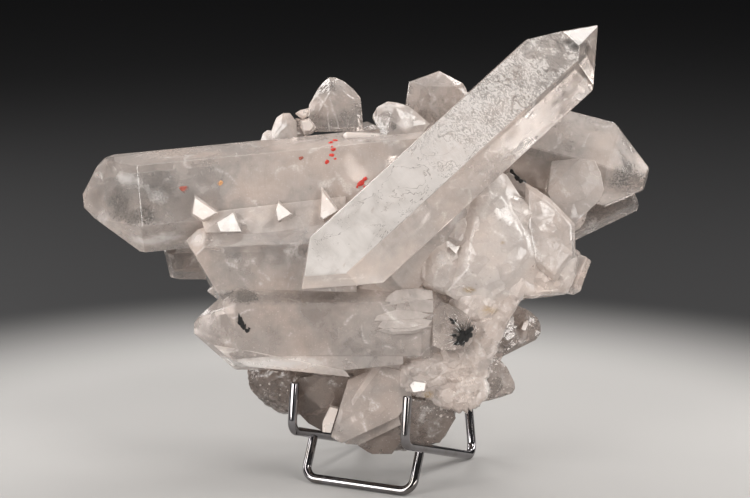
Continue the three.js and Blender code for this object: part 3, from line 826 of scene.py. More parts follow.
# %% The easel's sizes
WIRE = 4.0
TURN = deg(25)
FOOT_AT = np.array([-4.2, -35.9, 0])
ARM_SPACING = 53.0
FOOT_SPACING = 51.0
FOOT_LEAN = 9.0
LIP_AT = -10.0
LIP_HEIGHT = 20.5
LIP_LEAN = deg(9)
REAR_AT = 66.0
ARM_SLOPE = deg(18.5)
RISER_HEIGHT = 118.0
RISER_LEAN = deg(9)
ARCH_WIDTH = 13.0
BEND = 5.5
BEND_STEPS = 14
GAP = 0.3


def stand_to_row(points):
    """The stand's own frame (right, back, up) turned by the angle between it and the stone."""
    p = np.asarray(points, float)
    right = p[..., 0] * math.cos(TURN) + p[..., 1] * math.sin(TURN)
    back = -p[..., 0] * math.sin(TURN) + p[..., 1] * math.cos(TURN)
    return (np.stack([right, back, p[..., 2]], -1) + FOOT_AT) * MM


def rounded(corners):
    """A line through the corners; at each inner one an arc of the bend's radius: its centre lies on the
    corner's bisector, and it sweeps the angle between the two tangent points."""
    corners = np.array(corners, float)
    points = [corners[:1]]
    for before, corner, after in zip(corners, corners[1:], corners[2:]):
        a = (before - corner) / np.linalg.norm(before - corner)
        b = (after - corner) / np.linalg.norm(after - corner)
        half = math.acos(np.clip(a @ b, -1, 1)) / 2
        centre = corner + (a + b) / np.linalg.norm(a + b) * BEND / math.sin(half)
        start = corner + a * BEND / math.tan(half) - centre
        end = corner + b * BEND / math.tan(half) - centre
        sweep = math.pi - 2 * half
        t = np.linspace(0, 1, BEND_STEPS)[:, None]
        points.append(centre + (np.sin((1 - t) * sweep) * start + np.sin(t * sweep) * end) / math.sin(sweep))
    points.append(corners[-1:])
    return np.vstack(points)


slope = math.tan(ARM_SLOPE)
arm_x = ARM_SPACING / 2
lip_bottom = (REAR_AT - LIP_AT) * slope
lip_top_at = LIP_AT + LIP_HEIGHT * math.tan(LIP_LEAN)
riser_back = REAR_AT + RISER_HEIGHT * math.tan(RISER_LEAN)
half_easel = [[arm_x, lip_top_at, lip_bottom + LIP_HEIGHT], [arm_x, LIP_AT, lip_bottom],
              [arm_x, REAR_AT, 0], [ARCH_WIDTH / 2, riser_back, RISER_HEIGHT]]
mirrored = [[-x, y, z] for x, y, z in half_easel]
easel_line = rounded(mirrored + half_easel[::-1])
easel_drop = easel_line[:, 2].min() - WIRE / 2
easel_line[:, 2] -= easel_drop
foot_x = FOOT_SPACING / 2
foot_top = (REAR_AT - FOOT_LEAN) * slope - 2 * GAP
foot_line = rounded([[-foot_x, FOOT_LEAN, foot_top], [-foot_x, 0, WIRE / 2],
                     [foot_x, 0, WIRE / 2], [foot_x, FOOT_LEAN, foot_top]])
print("easel drop", round(easel_drop, 3), "mm")

# %% Carry a circle along a path
SIDES = 32
END_ROUNDING = 0.5


def tube(line, radius):
    """Point (i, j) = line i + radius (cos a, sin a) in the plane square to the path. That plane's two
    directions are carried from step to step without twist. The ends close on smaller rings."""
    line = np.asarray(line, float)
    along = np.gradient(line, axis=0)
    along /= np.linalg.norm(along, axis=1, keepdims=True)
    side = np.empty_like(line)
    side[0] = np.cross(along[0], [0.3, 0.9, 0.1])
    for i in range(1, len(line)):
        side[i] = side[i - 1] - (side[i - 1] @ along[i]) * along[i]
    side /= np.linalg.norm(side, axis=1, keepdims=True)
    other = np.cross(along, side)
    a = np.linspace(0, 2 * np.pi, SIDES, endpoint=False)[None, :, None]
    rings = line[:, None] + radius * (np.cos(a) * side[:, None] + np.sin(a) * other[:, None])
    closed = []
    for ring, middle, out in ((rings[0], line[0], -along[0]), (rings[-1], line[-1], along[-1])):
        inner = middle + (ring - middle) * (1 - END_ROUNDING / radius)
        closed.append([np.repeat(middle[None], SIDES, 0), inner, ring - out * END_ROUNDING])
    return np.concatenate([closed[0], rings[1:-1], closed[1][::-1]])


easel = put_grid("easel_wire", stand_to_row(tube(easel_line, WIRE / 2)))
foot = put_grid("foot_wire", stand_to_row(tube(foot_line, WIRE / 2)))
print("easel", len(easel.data.polygons), "faces; foot", len(foot.data.polygons))

# %% [markdown]
# ## Room for the wire in the stone
# The stone rests on the wire, so wherever crystals and wire share a place the stone gives way by a
# hair's breadth.

# %% Cut the wire's room out of the stone
HAIR = GAP * 0.6
room = [put_grid("easel_room", stand_to_row(tube(easel_line, WIRE / 2 + HAIR))),
        put_grid("foot_room", stand_to_row(tube(foot_line, WIRE / 2 + HAIR)))]
combined(stone, [number_faces(solid, WIRE_ROOM) for solid in room], "DIFFERENCE")
print("the stone has", len(stone.data.polygons), "faces and", len(stone.data.vertices), "corners")

# %% [markdown]
# ## What is sealed in the stone
# Small grains of rust, ochre and black mineral were caught while the crystals grew. They are real
# pieces here too: each grain is a little lump buried a short way under the skin, found along a ray
# from the eye, and one opening is full of needles that spread from a black grain.

# %% Where the grains sit
# rows: x and y in the front plane, half width, half height, turn, depth under the skin
RUST = [(-84.2, 26.8, 2.6, 0.8, -4, 0.0), (-32.6, 39.8, 1.7, 0.7, 0, 0.1), (-13.2, 34.3, 0.8, 0.7, 0, 0.7),
        (-8.8, 24.3, 1.0, 0.8, 30, 0.5)]
RED = [(-19.6, 46.6, 1.3, 0.6, 25, -0.2), (-17.4, 47.6, 1.2, 0.6, -10, -0.2),
       (-18.4, 43.8, 1.5, 0.6, 0, -0.2), (-19.2, 41.3, 1.3, 0.7, 10, -0.2),
       (-21.2, 38.1, 1.3, 0.8, 40, -0.2), (-17.6, 39.6, 0.8, 0.5, 0, -0.1), (-6.3, 28.8, 2.0, 1.2, 30, -0.1),
       (-4.5, 30.6, 1.3, 0.9, 10, -0.1), (-7.8, 27.3, 1.0, 0.6, 60, 0.0), (-4.8, 27.4, 0.8, 0.5, 20, 0.0),
       (-19.0, 44.9, 0.8, 0.4, 30, 0.0)]
OCHRE = [(-67.9, 28.7, 1.4, 1.2, 30, 0.2)]
BLACK = [(-59.6, -30.2, 0.22, 2.9, 2, -0.2), (-58.9, -31.6, 0.25, 2.4, -6, -0.2),
         (-58.2, -33.0, 0.3, 2.0, -14, -0.2), (-57.4, -34.2, 0.3, 1.7, -24, -0.2),
         (-56.3, -35.6, 1.3, 0.5, -28, -0.2), (-57.9, -34.8, 0.7, 0.6, 0, -0.2),
         (-55.4, -34.9, 0.9, 0.25, -40, -0.2), (-57.2, 30.8, 1.3, 1.2, 0, 1.8),
         (-11.4, 2.1, 0.35, 0.35, 0, 0.0), (60.3, 34.3, 1.5, 0.6, -62, -0.4),
         (61.2, 32.6, 1.5, 0.7, -58, -0.4), (62.5, 31.2, 1.5, 0.75, -40, -0.4),
         (64.0, 30.1, 1.5, 0.65, -25, -0.4), (65.5, 29.6, 1.3, 0.45, 0, -0.4),
         (38.4, -39.2, 2.4, 1.3, 38, -0.3), (40.9, -36.6, 2.1, 1.1, 45, -0.3),
         (36.0, -41.2, 1.8, 0.8, 25, -0.3), (42.3, -35.2, 1.2, 0.9, 60, -0.3),
         (40.0, -39.6, 1.5, 1.5, 10, -0.3), (36.6, -39.4, 1.1, 0.6, 70, -0.2),
         (34.8, -38.0, 1.3, 0.45, -30, -0.2), (37.4, -36.4, 1.5, 0.4, -60, -0.2),
         (38.2, -41.4, 1.7, 0.9, 15, -0.2), (41.8, -38.0, 1.6, 0.9, 50, -0.3),
         (38.8, -37.4, 1.8, 1.0, 35, -0.3), (33.6, -31.0, 1.4, 0.3, -35, -0.2),
         (34.8, -31.8, 1.3, 0.35, 25, -0.2), (34.2, -32.6, 1.0, 0.25, -10, -0.2)]
print(len(RUST + RED + OCHRE + BLACK), "grains")

# %% Grains caught in the crystals
WAY_IN = 0.45
GRAIN_DEPTH = 0.6
skin_tree = tree_of(stone)


def buried(x, y, depth):
    """The point depth mm under the skin on the ray from the eye through (x, y)."""
    at, _ = skin_at(skin_tree, x, y)
    way = at - [0, 0, EYE]
    return at + way / np.linalg.norm(way) * depth


def grains(name, rows):
    """Every grain of one mineral, in one piece."""
    made = []
    for number, (x, y, half_x, half_y, turn, depth) in enumerate(rows):
        points = lump(buried(x, y, depth + WAY_IN), [half_x, half_y, GRAIN_DEPTH], turn,
                      flats=9, sharp=12, rough=0.03, rows=12)
        made.append(put_grid(f"{name}_{number}", to_row(points)))
    piece = combined(made[0], made[1:], "UNION")
    piece.data.validate()
    return piece


rust, red, ochre, black = [grains("grain_" + name, rows) for name, rows in
                           (("rust", RUST), ("red", RED), ("ochre", OCHRE), ("black", BLACK))]
print("grains of", [len(piece.data.polygons) for piece in (rust, red, ochre, black)], "faces")

# %% Needles spreading from the black grain
NEEDLES_AT = (39.5, -38.0)
NEEDLE_DEPTH = 0.3
FAN = (50, 235)  # degrees round the view that the needles spread over


def needles(name, count, near, far, thick):
    """Needle j runs from near to far along a random direction, in the front plane and a little out of
    it; its ring of three corners sits a third of the way along."""
    middle = buried(*NEEDLES_AT, NEEDLE_DEPTH)
    angle = np.radians(rng.uniform(*FAN, count))
    way = np.stack([np.cos(angle), np.sin(angle), rng.normal(0, 0.12, count)], 1)
    start = middle + rng.normal(0, 1.0, (count, 3)) * [1, 0.8, 0.15] + way * rng.uniform(*near, (count, 1))
    end = start + way * rng.uniform(*far, (count, 1))
    third = start + (end - start) / 3
    e1 = np.cross(way, [0, 0, 1.0])
    e1 /= np.linalg.norm(e1, axis=1, keepdims=True)
    e2 = np.cross(way, e1)
    a = (2 * np.pi * np.arange(3) / 3)[None, :, None]
    radius = rng.uniform(*thick, (count, 1, 1))
    ring = third[:, None] + radius * (np.cos(a) * e1[:, None] + np.sin(a) * e2[:, None])
    points = np.concatenate([start[:, None], ring, end[:, None]], 1).reshape(-1, 3)
    faces = np.array([(0, 2, 1), (0, 3, 2), (0, 1, 3), (4, 1, 2), (4, 2, 3), (4, 3, 1)])
    faces = (faces[None] + 5 * np.arange(count)[:, None, None]).reshape(-1, 3)
    mesh = bpy.data.meshes.new(name)
    mesh.from_pydata(to_row(points).tolist(), [], faces.tolist())
    return add(name, mesh)


dark_needles = needles("needles_dark", 110, (0.3, 3), (2, 5.5), (0.06, 0.2))
pale_needles = needles("needles_pale", 45, (1, 4), (2, 6), (0.04, 0.10))
print("needles", len(dark_needles.data.polygons) + len(pale_needles.data.polygons), "faces")

# %% [markdown]
# ## What each face knows about itself
# A crystal's surface pattern follows its own growth: fine steps run across the prism faces, the
# milkiness sits at the root and the tip is clear. Each face still has the number of the solid that it
# came from, so its crystal is known, and the plane that it lies in is the one it stands out of most.
# From that, every corner of every face gets its place along and across the growth, and its own look.

# %% Read the numbers and places of the faces
skin_mesh = stone.data
skin_mesh.validate()


def read(items, name, width=1, kind=float):
    """One value for each item, as an array with that many columns."""
    values = np.empty(len(items) * width, kind)
    items.foreach_get(name, values)
    return values.reshape(-1, width) if width > 1 else values


centres = to_stone(read(skin_mesh.polygons, "center", 3))
corners_of_face = read(skin_mesh.polygons, "loop_total", kind=int)
corner_vertex = read(skin_mesh.loops, "vertex_index", kind=int)
vertices = to_stone(read(skin_mesh.vertices, "co", 3))
part = read(skin_mesh.attributes["part"].data, "value", kind=np.int32)
skin_mesh.attributes.remove(skin_mesh.attributes["part"])
print("faces of crystals:", (part < MASS).sum(), "faces of the mass:", (part >= MASS).sum())

# %% Growth coordinates
PATTERN_SHIFT = (17.0, 3.0)  # from crystal to crystal and from face to face, so that none looks the same
corner_part = np.repeat(part, corners_of_face)
corner_centre = np.repeat(centres, corners_of_face, 0)
corner_place = vertices[corner_vertex]
growth = corner_place.copy()
milk = np.full(len(corner_vertex), 0.7)
tone_and_shade = np.full(len(corner_vertex), 0.5)
prism_side = np.zeros(len(corner_vertex))
frost = np.zeros(len(corner_vertex))
rugged = np.where(corner_part >= BLOCK, 0.25, 0.0)
for number, one in enumerate(crystals):
    own = corner_part == number
    plane = (corner_centre[own] @ one["normals"].T - one["reach"]).argmax(1)
    across = np.cross(one["normals"][plane], one["axis"])
    across /= np.maximum(np.linalg.norm(across, axis=1, keepdims=True), 1e-6)
    from_tip = (one["tip"] - corner_place[own]) @ one["axis"]
    shift = number * PATTERN_SHIFT[0] + plane * PATTERN_SHIFT[1]
    growth[own] = np.stack([(corner_place[own] * across).sum(1), from_tip, shift], -1)
    root_milk, tip_milk = one["look"]
    milk[own] = tip_milk + (root_milk - tip_milk) * np.clip(from_tip / one["length"], 0, 1)
    tone_and_shade[own] = one["tone_and_shade"]
    prism_side[own] = plane < 6
    frost[own] = (number == 0) & (plane == 0)
print("milk of the crystals from", round(milk.min(), 2), "to", round(milk.max(), 2))

# %% The looks of blocks, masses and chips
for first, solids in ((BLOCK, blocks), (MASS, masses)):
    for number, one in enumerate(solids):
        own = corner_part == first + number
        milk[own] = one["look"]
        tone_and_shade[own] = one["tone_and_shade"]
        rugged[own] = one["rugged"]
milk[corner_part == CHIP] = 0.7
tone_and_shade[corner_part == CHIP] = 0.85


def write(name, kind, values):
    """One value for each corner of each face."""
    attribute = skin_mesh.attributes.new(name, kind, "CORNER")
    socket = "vector" if kind == "FLOAT_VECTOR" else "color"
    attribute.data.foreach_set(socket, values.astype(np.float32).ravel())


write("growth", "FLOAT_VECTOR", growth)
write("skin", "FLOAT_COLOR", np.stack([milk, frost, tone_and_shade, prism_side], -1))
write("rugged", "FLOAT_VECTOR", np.repeat(rugged[:, None], 3, 1))
print("ruggedness from", rugged.min(), "to", rugged.max())

# %% [markdown]
# ## How a material is wired
# A material is a row of small steps, each a node, joined by wires. Written out one by one they are
# long, so two helpers stand for them here: a Wiring adds nodes to one material, and a Flow is what
# comes out of a node and can be added, taken away and multiplied like a number.

# %% What comes out of a node
class Flow:
    """What comes out of a node. Each +, - and * adds one Math node."""

    def __init__(self, wiring, socket):
        self.wiring = wiring
        self.socket = socket

    def __add__(self, other):
        return self.wiring.math("ADD", self, other)

    def __sub__(self, other):
        return self.wiring.math("SUBTRACT", self, other)

    def __rsub__(self, other):
        return self.wiring.math("SUBTRACT", other, self)

    def __mul__(self, other):
        return self.wiring.math("MULTIPLY", self, other)

    def kept_in_range(self):
        """The same sum, held between 0 and 1."""
        self.socket.node.use_clamp = True
        return self


print("a flow adds a node for every +, - and *")

# %% The nodes of one material
class Wiring:
    """The nodes of one material. here is the place on the object, and inputs are the shader's."""

    def __init__(self, name):
        self.material = bpy.data.materials.new(name)
        self.material.use_nodes = True
        self.nodes = self.material.node_tree.nodes
        self.links = self.material.node_tree.links
        self.inputs = self.nodes["Principled BSDF"].inputs
        self.here = Flow(self, self.node("TexCoord").outputs["Object"])

    def node(self, kind, **settings):
        """A new node of that kind."""
        made = self.nodes.new("ShaderNode" + kind)
        for key, value in settings.items():
            setattr(made, key, value)
        return made

    def put(self, value, socket):
        """A flow is linked to the socket, a plain value is set on it."""
        if isinstance(value, Flow):
            self.links.new(value.socket, socket)
        else:
            socket.default_value = value

    def wired(self, node, out, *values, **named):
        """The flow out of a node whose sockets got these values, in order or by name."""
        for socket, value in zip(node.inputs, values):
            self.put(value, socket)
        for name, value in named.items():
            self.put(value, node.inputs[name])
        return Flow(self, node.outputs[out])

    def math(self, operation, a, b=0.0):
        """One sum with numbers."""
        return self.wired(self.node("Math", operation=operation), 0, a, b)

    def vector(self, operation, *values, out="Vector"):
        """One sum with places or directions."""
        return self.wired(self.node("VectorMath", operation=operation), out, *values)

    def attribute(self, name, out):
        """What was written on the corners of the faces under that name."""
        return self.wired(self.node("Attribute", attribute_name=name), out)

    def span(self, value, low, high, to_low=0.0, to_high=1.0):
        """low to high becomes to_low to to_high, smoothly, and stays there beyond."""
        node = self.node("MapRange", interpolation_type="SMOOTHSTEP")
        return self.wired(node, 0, value, low, high, to_low, to_high)

    def mix(self, share, a, b):
        """Colour a where share is 0, colour b where it is 1."""
        node = self.node("Mix", data_type="RGBA")
        self.put(share, node.inputs[0])
        self.put(a, node.inputs[6])
        self.put(b, node.inputs[7])
        return Flow(self, node.outputs[2])

    def noise(self, place, scale, detail, rough, distortion=0.0, stretch=(1, 1, 1)):
        """A random cloud between 0 and 1: about scale lumps a metre, or a millimetre of growth, in
        detail sizes, each rough times as strong as the one before; stretch under 1 draws it out."""
        moved = self.wired(self.node("Mapping"), 0, Vector=place, Scale=stretch)
        return self.wired(self.node("TexNoise"), "Fac", Vector=moved, Scale=scale, Detail=detail,
                         Roughness=rough, Distortion=distortion)

    def vein(self, noise, width, strength):
        """A thin line wherever the noise crosses one half."""
        return self.span(self.math("ABSOLUTE", noise - 0.5), 0.0, width, strength, 0)

    def shards(self, place, scale):
        """A space cut into cells, each with its own random slope: metres of height, and a random number."""
        cells = self.node("TexVoronoi")
        colour = self.wired(cells, "Color", Vector=place, Scale=scale)
        offset = self.vector("SUBTRACT", place, Flow(self, cells.outputs["Position"]))
        slope = self.vector("SUBTRACT", colour, (0.5, 0.5, 0.5))
        return self.vector("DOT_PRODUCT", offset, slope, out="Value"), colour

    def bump(self, height, strength, distance, **under):
        """The normal that height in units of distance would give, on top of the normal under it."""
        return self.wired(self.node("Bump"), 0, Height=height, Strength=strength, Distance=distance, **under)


print("a thin line is where a noise crosses one half")

# %% [markdown]
# ## Milky quartz
# Clear quartz bends light like glass with an index of 1.544. Here it is full of droplets too small to
# see, which scatter the light: so the shader lets most of it through where the milkiness is low, and
# turns white and rough where it is high. Clouds, wisps, healed cracks, frost, stains and dust are all
# worked out from the place on the object or from the growth coordinates, and so are a few places of
# painted light and painted shade.

# %% Clouds, wisps and what the faces know
quartz = Wiring("milky_quartz")
here = quartz.here
span = quartz.span
grow = quartz.attribute("growth", "Vector")
skin_node = quartz.node("Attribute", attribute_name="skin")
prism_value = quartz.wired(skin_node, "Alpha")
skin_parts = quartz.node("SeparateColor")
quartz.put(quartz.wired(skin_node, "Color"), skin_parts.inputs[0])
milk_value, frost_value, tone_and_shade_value = [Flow(quartz, socket) for socket in skin_parts.outputs]
rugged_value = quartz.attribute("rugged", "Fac")
cloud = quartz.noise(here, 42, 4, 0.55, 0.3)
wisp = quartz.noise(here, 160, 4, 0.6, 0.4)
fleck = quartz.noise(here, 1300, 3, 0.7)
ragged = (quartz.noise(here, 300, 4, 0.65) - 0.5) * 0.9
cloudy = (cloud - 0.5) + (wisp - 0.5) * 0.35
print(len(quartz.nodes), "nodes for clouds and wisps")


# %% Places with a look of their own
def blotch(at, half, edge):
    """1 inside an ellipsoid of that half size (mm, stone frame x, y and depth), fading out over edge
    with a ragged border."""
    offset = quartz.vector("SUBTRACT", here, to_row(at))
    scaled = quartz.vector("MULTIPLY", offset, [1 / (MM * half[0]), 1 / (MM * half[2]), 1 / (MM * half[1])])
    return span(quartz.vector("LENGTH", scaled, out="Value") + ragged, 1 - edge, 1, 1, 0)


def places(rows, edge):
    """The strongest of many blotches. Rows: middle, half size, and how strong."""
    total = 0.0
    for at, half, strength in rows:
        total = quartz.math("MAXIMUM", blotch(at, half, edge) * strength, total)
    return total


# where the crystal is clear enough to show grey cracks and dust inside
GREY_PLACES = [((-111, 20, 24), (10, 8, 16), 1.1), ((-97, 15.5, 30), (7, 6, 10), 1.1),
               ((-91, 21, 30), (17, 10, 12), 0.6), ((-102, 13.5, 28), (13, 4, 12), 1.5),
               ((-110, 14.5, 24), (7, 4, 12), 1.2), ((83, 85, 46), (6, 4, 8), 1.4),
               ((89, 83.5, 43), (2, 5, 8), 0.9), ((87, 76, 46), (6, 8, 12), 0.9),
               ((111, 30, 14), (15, 8, 16), 1.2), ((71, 43.5, 5), (9, 6, 12), 0.7),
               ((-56, -20, 35), (11, 3.4, 14), 1.8), ((-28, -20.5, 34), (34, 3.4, 14), 0.6),
               ((28, 61.5, -2), (8, 7, 10), 0.6), ((21.5, 60, 0), (3, 3.5, 8), 0.9),
               ((3, 51, 10), (2.4, 2.4, 8), 1), ((8, 53, 12), (1.8, 2.4, 8), 1),
               ((-7, 55, -8), (2.5, 2, 8), 1), ((-14, 58, -5), (7, 4, 8), 0.5),
               ((-75, -3.3, 2), (3, 3.4, 8), 1), ((58, -43.5, 5), (7, 3, 14), 0.8),
               ((68, -20.5, 10), (13, 2.5, 16), 0.5), ((36.5, -37, 30), (8, 8, 14), 0.6),
               ((99, 18, 0), (14, 7, 14), 0.7)]
flecks = (places(GREY_PLACES, 0.7) * span(fleck, 0.42, 0.6, 0.2, 1)).kept_in_range()
print(len(GREY_PLACES), "grey places")

# %% Places white inside, some of them also painted light, and places of painted shade, darker than around
# white inside; on the low left crystal's underside, under the left crystal and in the gap between the front
# crystal and the mass on the right also painted lighter, as painted light
WHITE_AND_PAINTED_LIGHT_PLACES = [((47.3, -33.5, 22), (5, 4.5, 10), 0.9), ((48, -57, 20), (2.6, 9, 12), 0.8),
               ((-53, -47, 24), (20, 6, 18), 1.2), ((-40, -48, 33), (26, 4, 8), 0.8),
               ((-89, 4, 26), (11, 4, 8), 0.7), ((94, 32, 14), (10, 8, 12), 0.35),
               ((-75, 4.4, 30), (6, 4, 10), 0.7), ((-119, 12, 22), (6, 8, 12), 0.6),
               ((-92.5, 22.5, 28), (6, 4.5, 8), 0.5), ((-108, 30, 24), (12, 4, 10), 0.5),
               ((-97, 3, 24), (16, 3.5, 12), 0.5), ((-70, 25, 32), (18, 5, 10), 0.25),
               ((86.3, 65.5, 38), (6, 5, 10), 0.6), ((6, 62.5, 5), (9, 2.6, 9), 0.8),
               ((13, 55, 9), (5, 4, 9), 0.7), ((-45, 50, -5), (7, 7, 10), 0.6),
               ((57, 14, 32), (7, 6, 8), 0.3), ((33, 15, 33), (6, 8, 8), 0.7),
               ((28, -4, 35), (3, 4.5, 6), 0.4), ((72, 2, 28), (2.6, 9, 8), 0.15),
               ((-48.5, -14, 30), (1.8, 1.5, 5), 0.8), ((40, -60, 20), (9, 9, 12), 0.3)]
# painted shade: places painted darker than around, under the block on the right, along the top of the low
# left crystal and near the tips of the long crystals
PAINTED_SHADE_PLACES = [((88.5, 75.5, 44), (6, 5, 12), 0.6), ((-95, 24, 27), (10, 7, 14), 0.4),
              ((-106, 18, 25), (17, 8.5, 12), 0.62), ((118, 28, 14), (9, 9, 14), 0.4),
              ((-50, -20.5, 35), (20, 3, 14), 0.8), ((28, -10, 35), (5, 5, 6), 0.3),
              ((60, -25, 12), (4, 4, 10), 0.7), ((74, -17, 14), (14, 4.5, 14), 0.6),
              ((-20, -20.5, 34), (24, 3, 14), 0.5), ((83, 85, 47), (4.5, 2.8, 8), 1.2),
              ((89, 83.5, 44), (1.9, 4, 8), 1.1), ((92, 70, 38), (8, 11, 16), 0.6),
              ((88, 74, 45), (7, 8, 10), 1.1), ((77, 0, 28), (7, 12, 8), 0.35)]
white_and_painted_light = places(WHITE_AND_PAINTED_LIGHT_PLACES, 0.9)
painted_shade = places(PAINTED_SHADE_PLACES, 0.9)
print(len(WHITE_AND_PAINTED_LIGHT_PLACES), "white places and", len(PAINTED_SHADE_PLACES), "dim ones")

# %% Milkiness, shards and healed cracks
big_shard, big_colour = quartz.shards(here, 170)
small_shard, _ = quartz.shards(here, 720)
shard_shade = (big_colour - 0.5) * (rugged_value * 0.35)
milkiness = (milk_value + cloudy + shard_shade + white_and_painted_light * 0.5).kept_in_range()
# healed cracks: sheets of dust through the inside, seen as broken pale lines here and there
sheet = quartz.vein(quartz.noise(here, 34, 2, 0.5, 0.6), 0.03, 1)
sheet = sheet * span(wisp, 0.46, 0.6) * span(fleck, 0.4, 0.6, 0.25, 0.9)
dust = span(fleck, 0.6, 0.68) * span(cloud, 0.4, 0.6, 0.1, 0.3)
veil = quartz.math("MAXIMUM", sheet * 0.55, dust)
print(len(quartz.nodes), "nodes with the healed cracks")

# %% The frosted face
# clear hairlines wind through it, mostly across the growth and near the tip
grow_parts = quartz.node("SeparateXYZ")
from_tip = quartz.wired(grow_parts, "Y", grow)
hair = quartz.vein(quartz.noise(grow, 0.5, 5, 0.66, 1.2, (0.45, 1, 1)), 0.07, 1)
patch = quartz.noise(grow, 0.13, 3, 0.6, 0.5, (0.7, 1, 1))
dense = span(from_tip, 45, 120, 1, 0.06) * span(patch, 0.35, 0.6, 0.4, 1)
bare = span(patch, 0.42, 0.62) * span(from_tip, 12, 60, 0.75, 0)
long_crack = quartz.vein(quartz.noise(grow, 0.07, 4, 0.62, 1.0, (1, 0.7, 1)), 0.012, 0.6)
speck = span(fleck, 0.56, 0.66) * span(patch, 0.38, 0.6, 0.45, 0.1)
# a window without frost under the tip
BARE_PLACES = [((80.2, 86.2, 47), (4.4, 2.3, 9), 1), ((83.8, 84.2, 47), (4.2, 2.5, 9), 1),
               ((85.4, 82.0, 47), (2.2, 2.8, 9), 1)]
window = (places(BARE_PLACES, 0.9) * span(fleck, 0.4, 0.6, 0.75, 1.1)).kept_in_range()
open_skin = hair * dense
for opening in (bare, long_crack, speck, window):
    open_skin = quartz.math("MAXIMUM", open_skin, opening)
white = frost_value * (1 - open_skin)
grey_line = frost_value * open_skin
print(len(quartz.nodes), "nodes with the frost")

# %% Transmission and colour
LIGHT_TINT, WARM_TINT, DARK_BROWN_AND_SHADE_TINT = (0.86, 0.80, 0.76, 1), (0.80, 0.68, 0.61, 1), (0.13, 0.095, 0.078, 1)
WHITE_TINT, LOW_WHITE_TINT, LINE_TINT = (0.68, 0.645, 0.62, 1), (0.45, 0.42, 0.395, 1), (0.20, 0.19, 0.185, 1)
PAINTED_SHADE_TINT, WHITE_AND_PAINTED_LIGHT_TINT, VEIL_TINT = (0.24, 0.225, 0.21, 1), (0.94, 0.925, 0.915, 1), (0.90, 0.88, 0.86, 1)
FLECK_TINT, STAIN_TINT = (0.11, 0.11, 0.105, 1), (0.50, 0.33, 0.13, 1)
QUARTZ_IOR = 1.544
STAINS = [((48, -24.5, 26), (6, 3.2, 14), 1), ((23, -62.5, 30), (3.4, 2.6, 10), 1),
          ((54, 3, 35), (1.6, 1.3, 5), 1), ((68.5, 2, 28), (1.7, 3.2, 6), 1), ((40, -17, 33), (4, 2, 6), 1)]
stain = places(STAINS, 0.8) * span(fleck, 0.4, 0.6, 0.35, 0.95)
clear = span(milkiness, 0.0, 1.0, 0.96, 0.38) * (1 - white * 0.6) * (1 - veil * 0.6)
low = span(from_tip, 60, 130) * span(patch, 0.3, 0.65, 1, 0.45)
tint = quartz.mix(span(cloud, 0.35, 0.7), LIGHT_TINT, WARM_TINT)
tint = quartz.mix(rugged_value * 0.45, tint, WARM_TINT)
# the tone pulls the colour towards a dark brown: the stone's own darker tones, and painted shade on the
# underside and the faces under the overhang
tint = quartz.mix(tone_and_shade_value, DARK_BROWN_AND_SHADE_TINT, tint)
# the painted shade darkens the colour here and the white places whiten it, in part as painted light, among
# the real veils, flecks, frost and stains
for share, colour in ((painted_shade * 0.8, PAINTED_SHADE_TINT), (white_and_painted_light * 0.8, WHITE_AND_PAINTED_LIGHT_TINT), (veil * 0.8, VEIL_TINT),
                      (flecks * 0.8, FLECK_TINT), (white, quartz.mix(low, WHITE_TINT, LOW_WHITE_TINT)),
                      (stain, STAIN_TINT), (grey_line * 0.8, LINE_TINT)):
    tint = quartz.mix(share, tint, colour)
quartz.put(clear, quartz.inputs["Transmission Weight"])
quartz.put(tint, quartz.inputs["Base Color"])
quartz.put(span(milkiness, 0.35, 1.0, 0.05, 0.28) + white * 0.28, quartz.inputs["Roughness"])
quartz.put(QUARTZ_IOR, quartz.inputs["IOR"])
print(len(quartz.nodes), "nodes with the colour")

# %% Relief: growth steps, grain, soft waves and shards
BUMP_DISTANCE = 0.0003
SHARD_DISTANCE = 1.0  # the shards' height is in metres already
steps = quartz.noise(grow, 1.0, 3, 0.6, 0.0, (0.05, 1.6, 1))
grain = quartz.noise(here, 900, 3, 0.6)
waves = quartz.noise(here, 110, 2, 0.5) * (1.1 - rugged_value)
relief = steps * prism_value * 0.35 + grain * 0.12 - grey_line * 0.25 + waves
small_rise = rugged_value * span(wisp, 0.4, 0.62, 0.1, 0.7)
shard_height = (big_shard * 0.42 + small_shard * small_rise) * rugged_value
under = quartz.bump(relief, 0.5, BUMP_DISTANCE)
quartz.put(quartz.bump(shard_height, 1.0, SHARD_DISTANCE, Normal=under), quartz.inputs["Normal"])
print(len(quartz.nodes), "nodes in all")

# %% Put it on the stone: flat faces stay flat, the rounded solids are smooth all over
SHARP_FROM = deg(22)
ROUND_FROM = 0.5
stone.data.materials.clear()
stone.data.materials.append(quartz.material)
stone.data.shade_smooth()
stone.data.set_sharp_from_angle(angle=SHARP_FROM)
round_edged = [number for number, one in enumerate(crystals) if one.get("soften", 0) > ROUND_FROM]
round_edged += [BLOCK + number for number, one in enumerate(blocks) if one["soften"] > ROUND_FROM]
smooth_face = np.isin(part, round_edged) | ((part >= MASS) & (part < MASS + LUMPS))
stone.data.polygons.foreach_set("use_smooth", smooth_face)
print(smooth_face.sum(), "faces are smooth")

# %% [markdown]
# ## Chromed wire
# Chrome is a mirror with a faint blue or brown cast. It is never quite even: fingers leave dull
# smudges, and years of stones being lifted on and off leave hair-fine scratches.

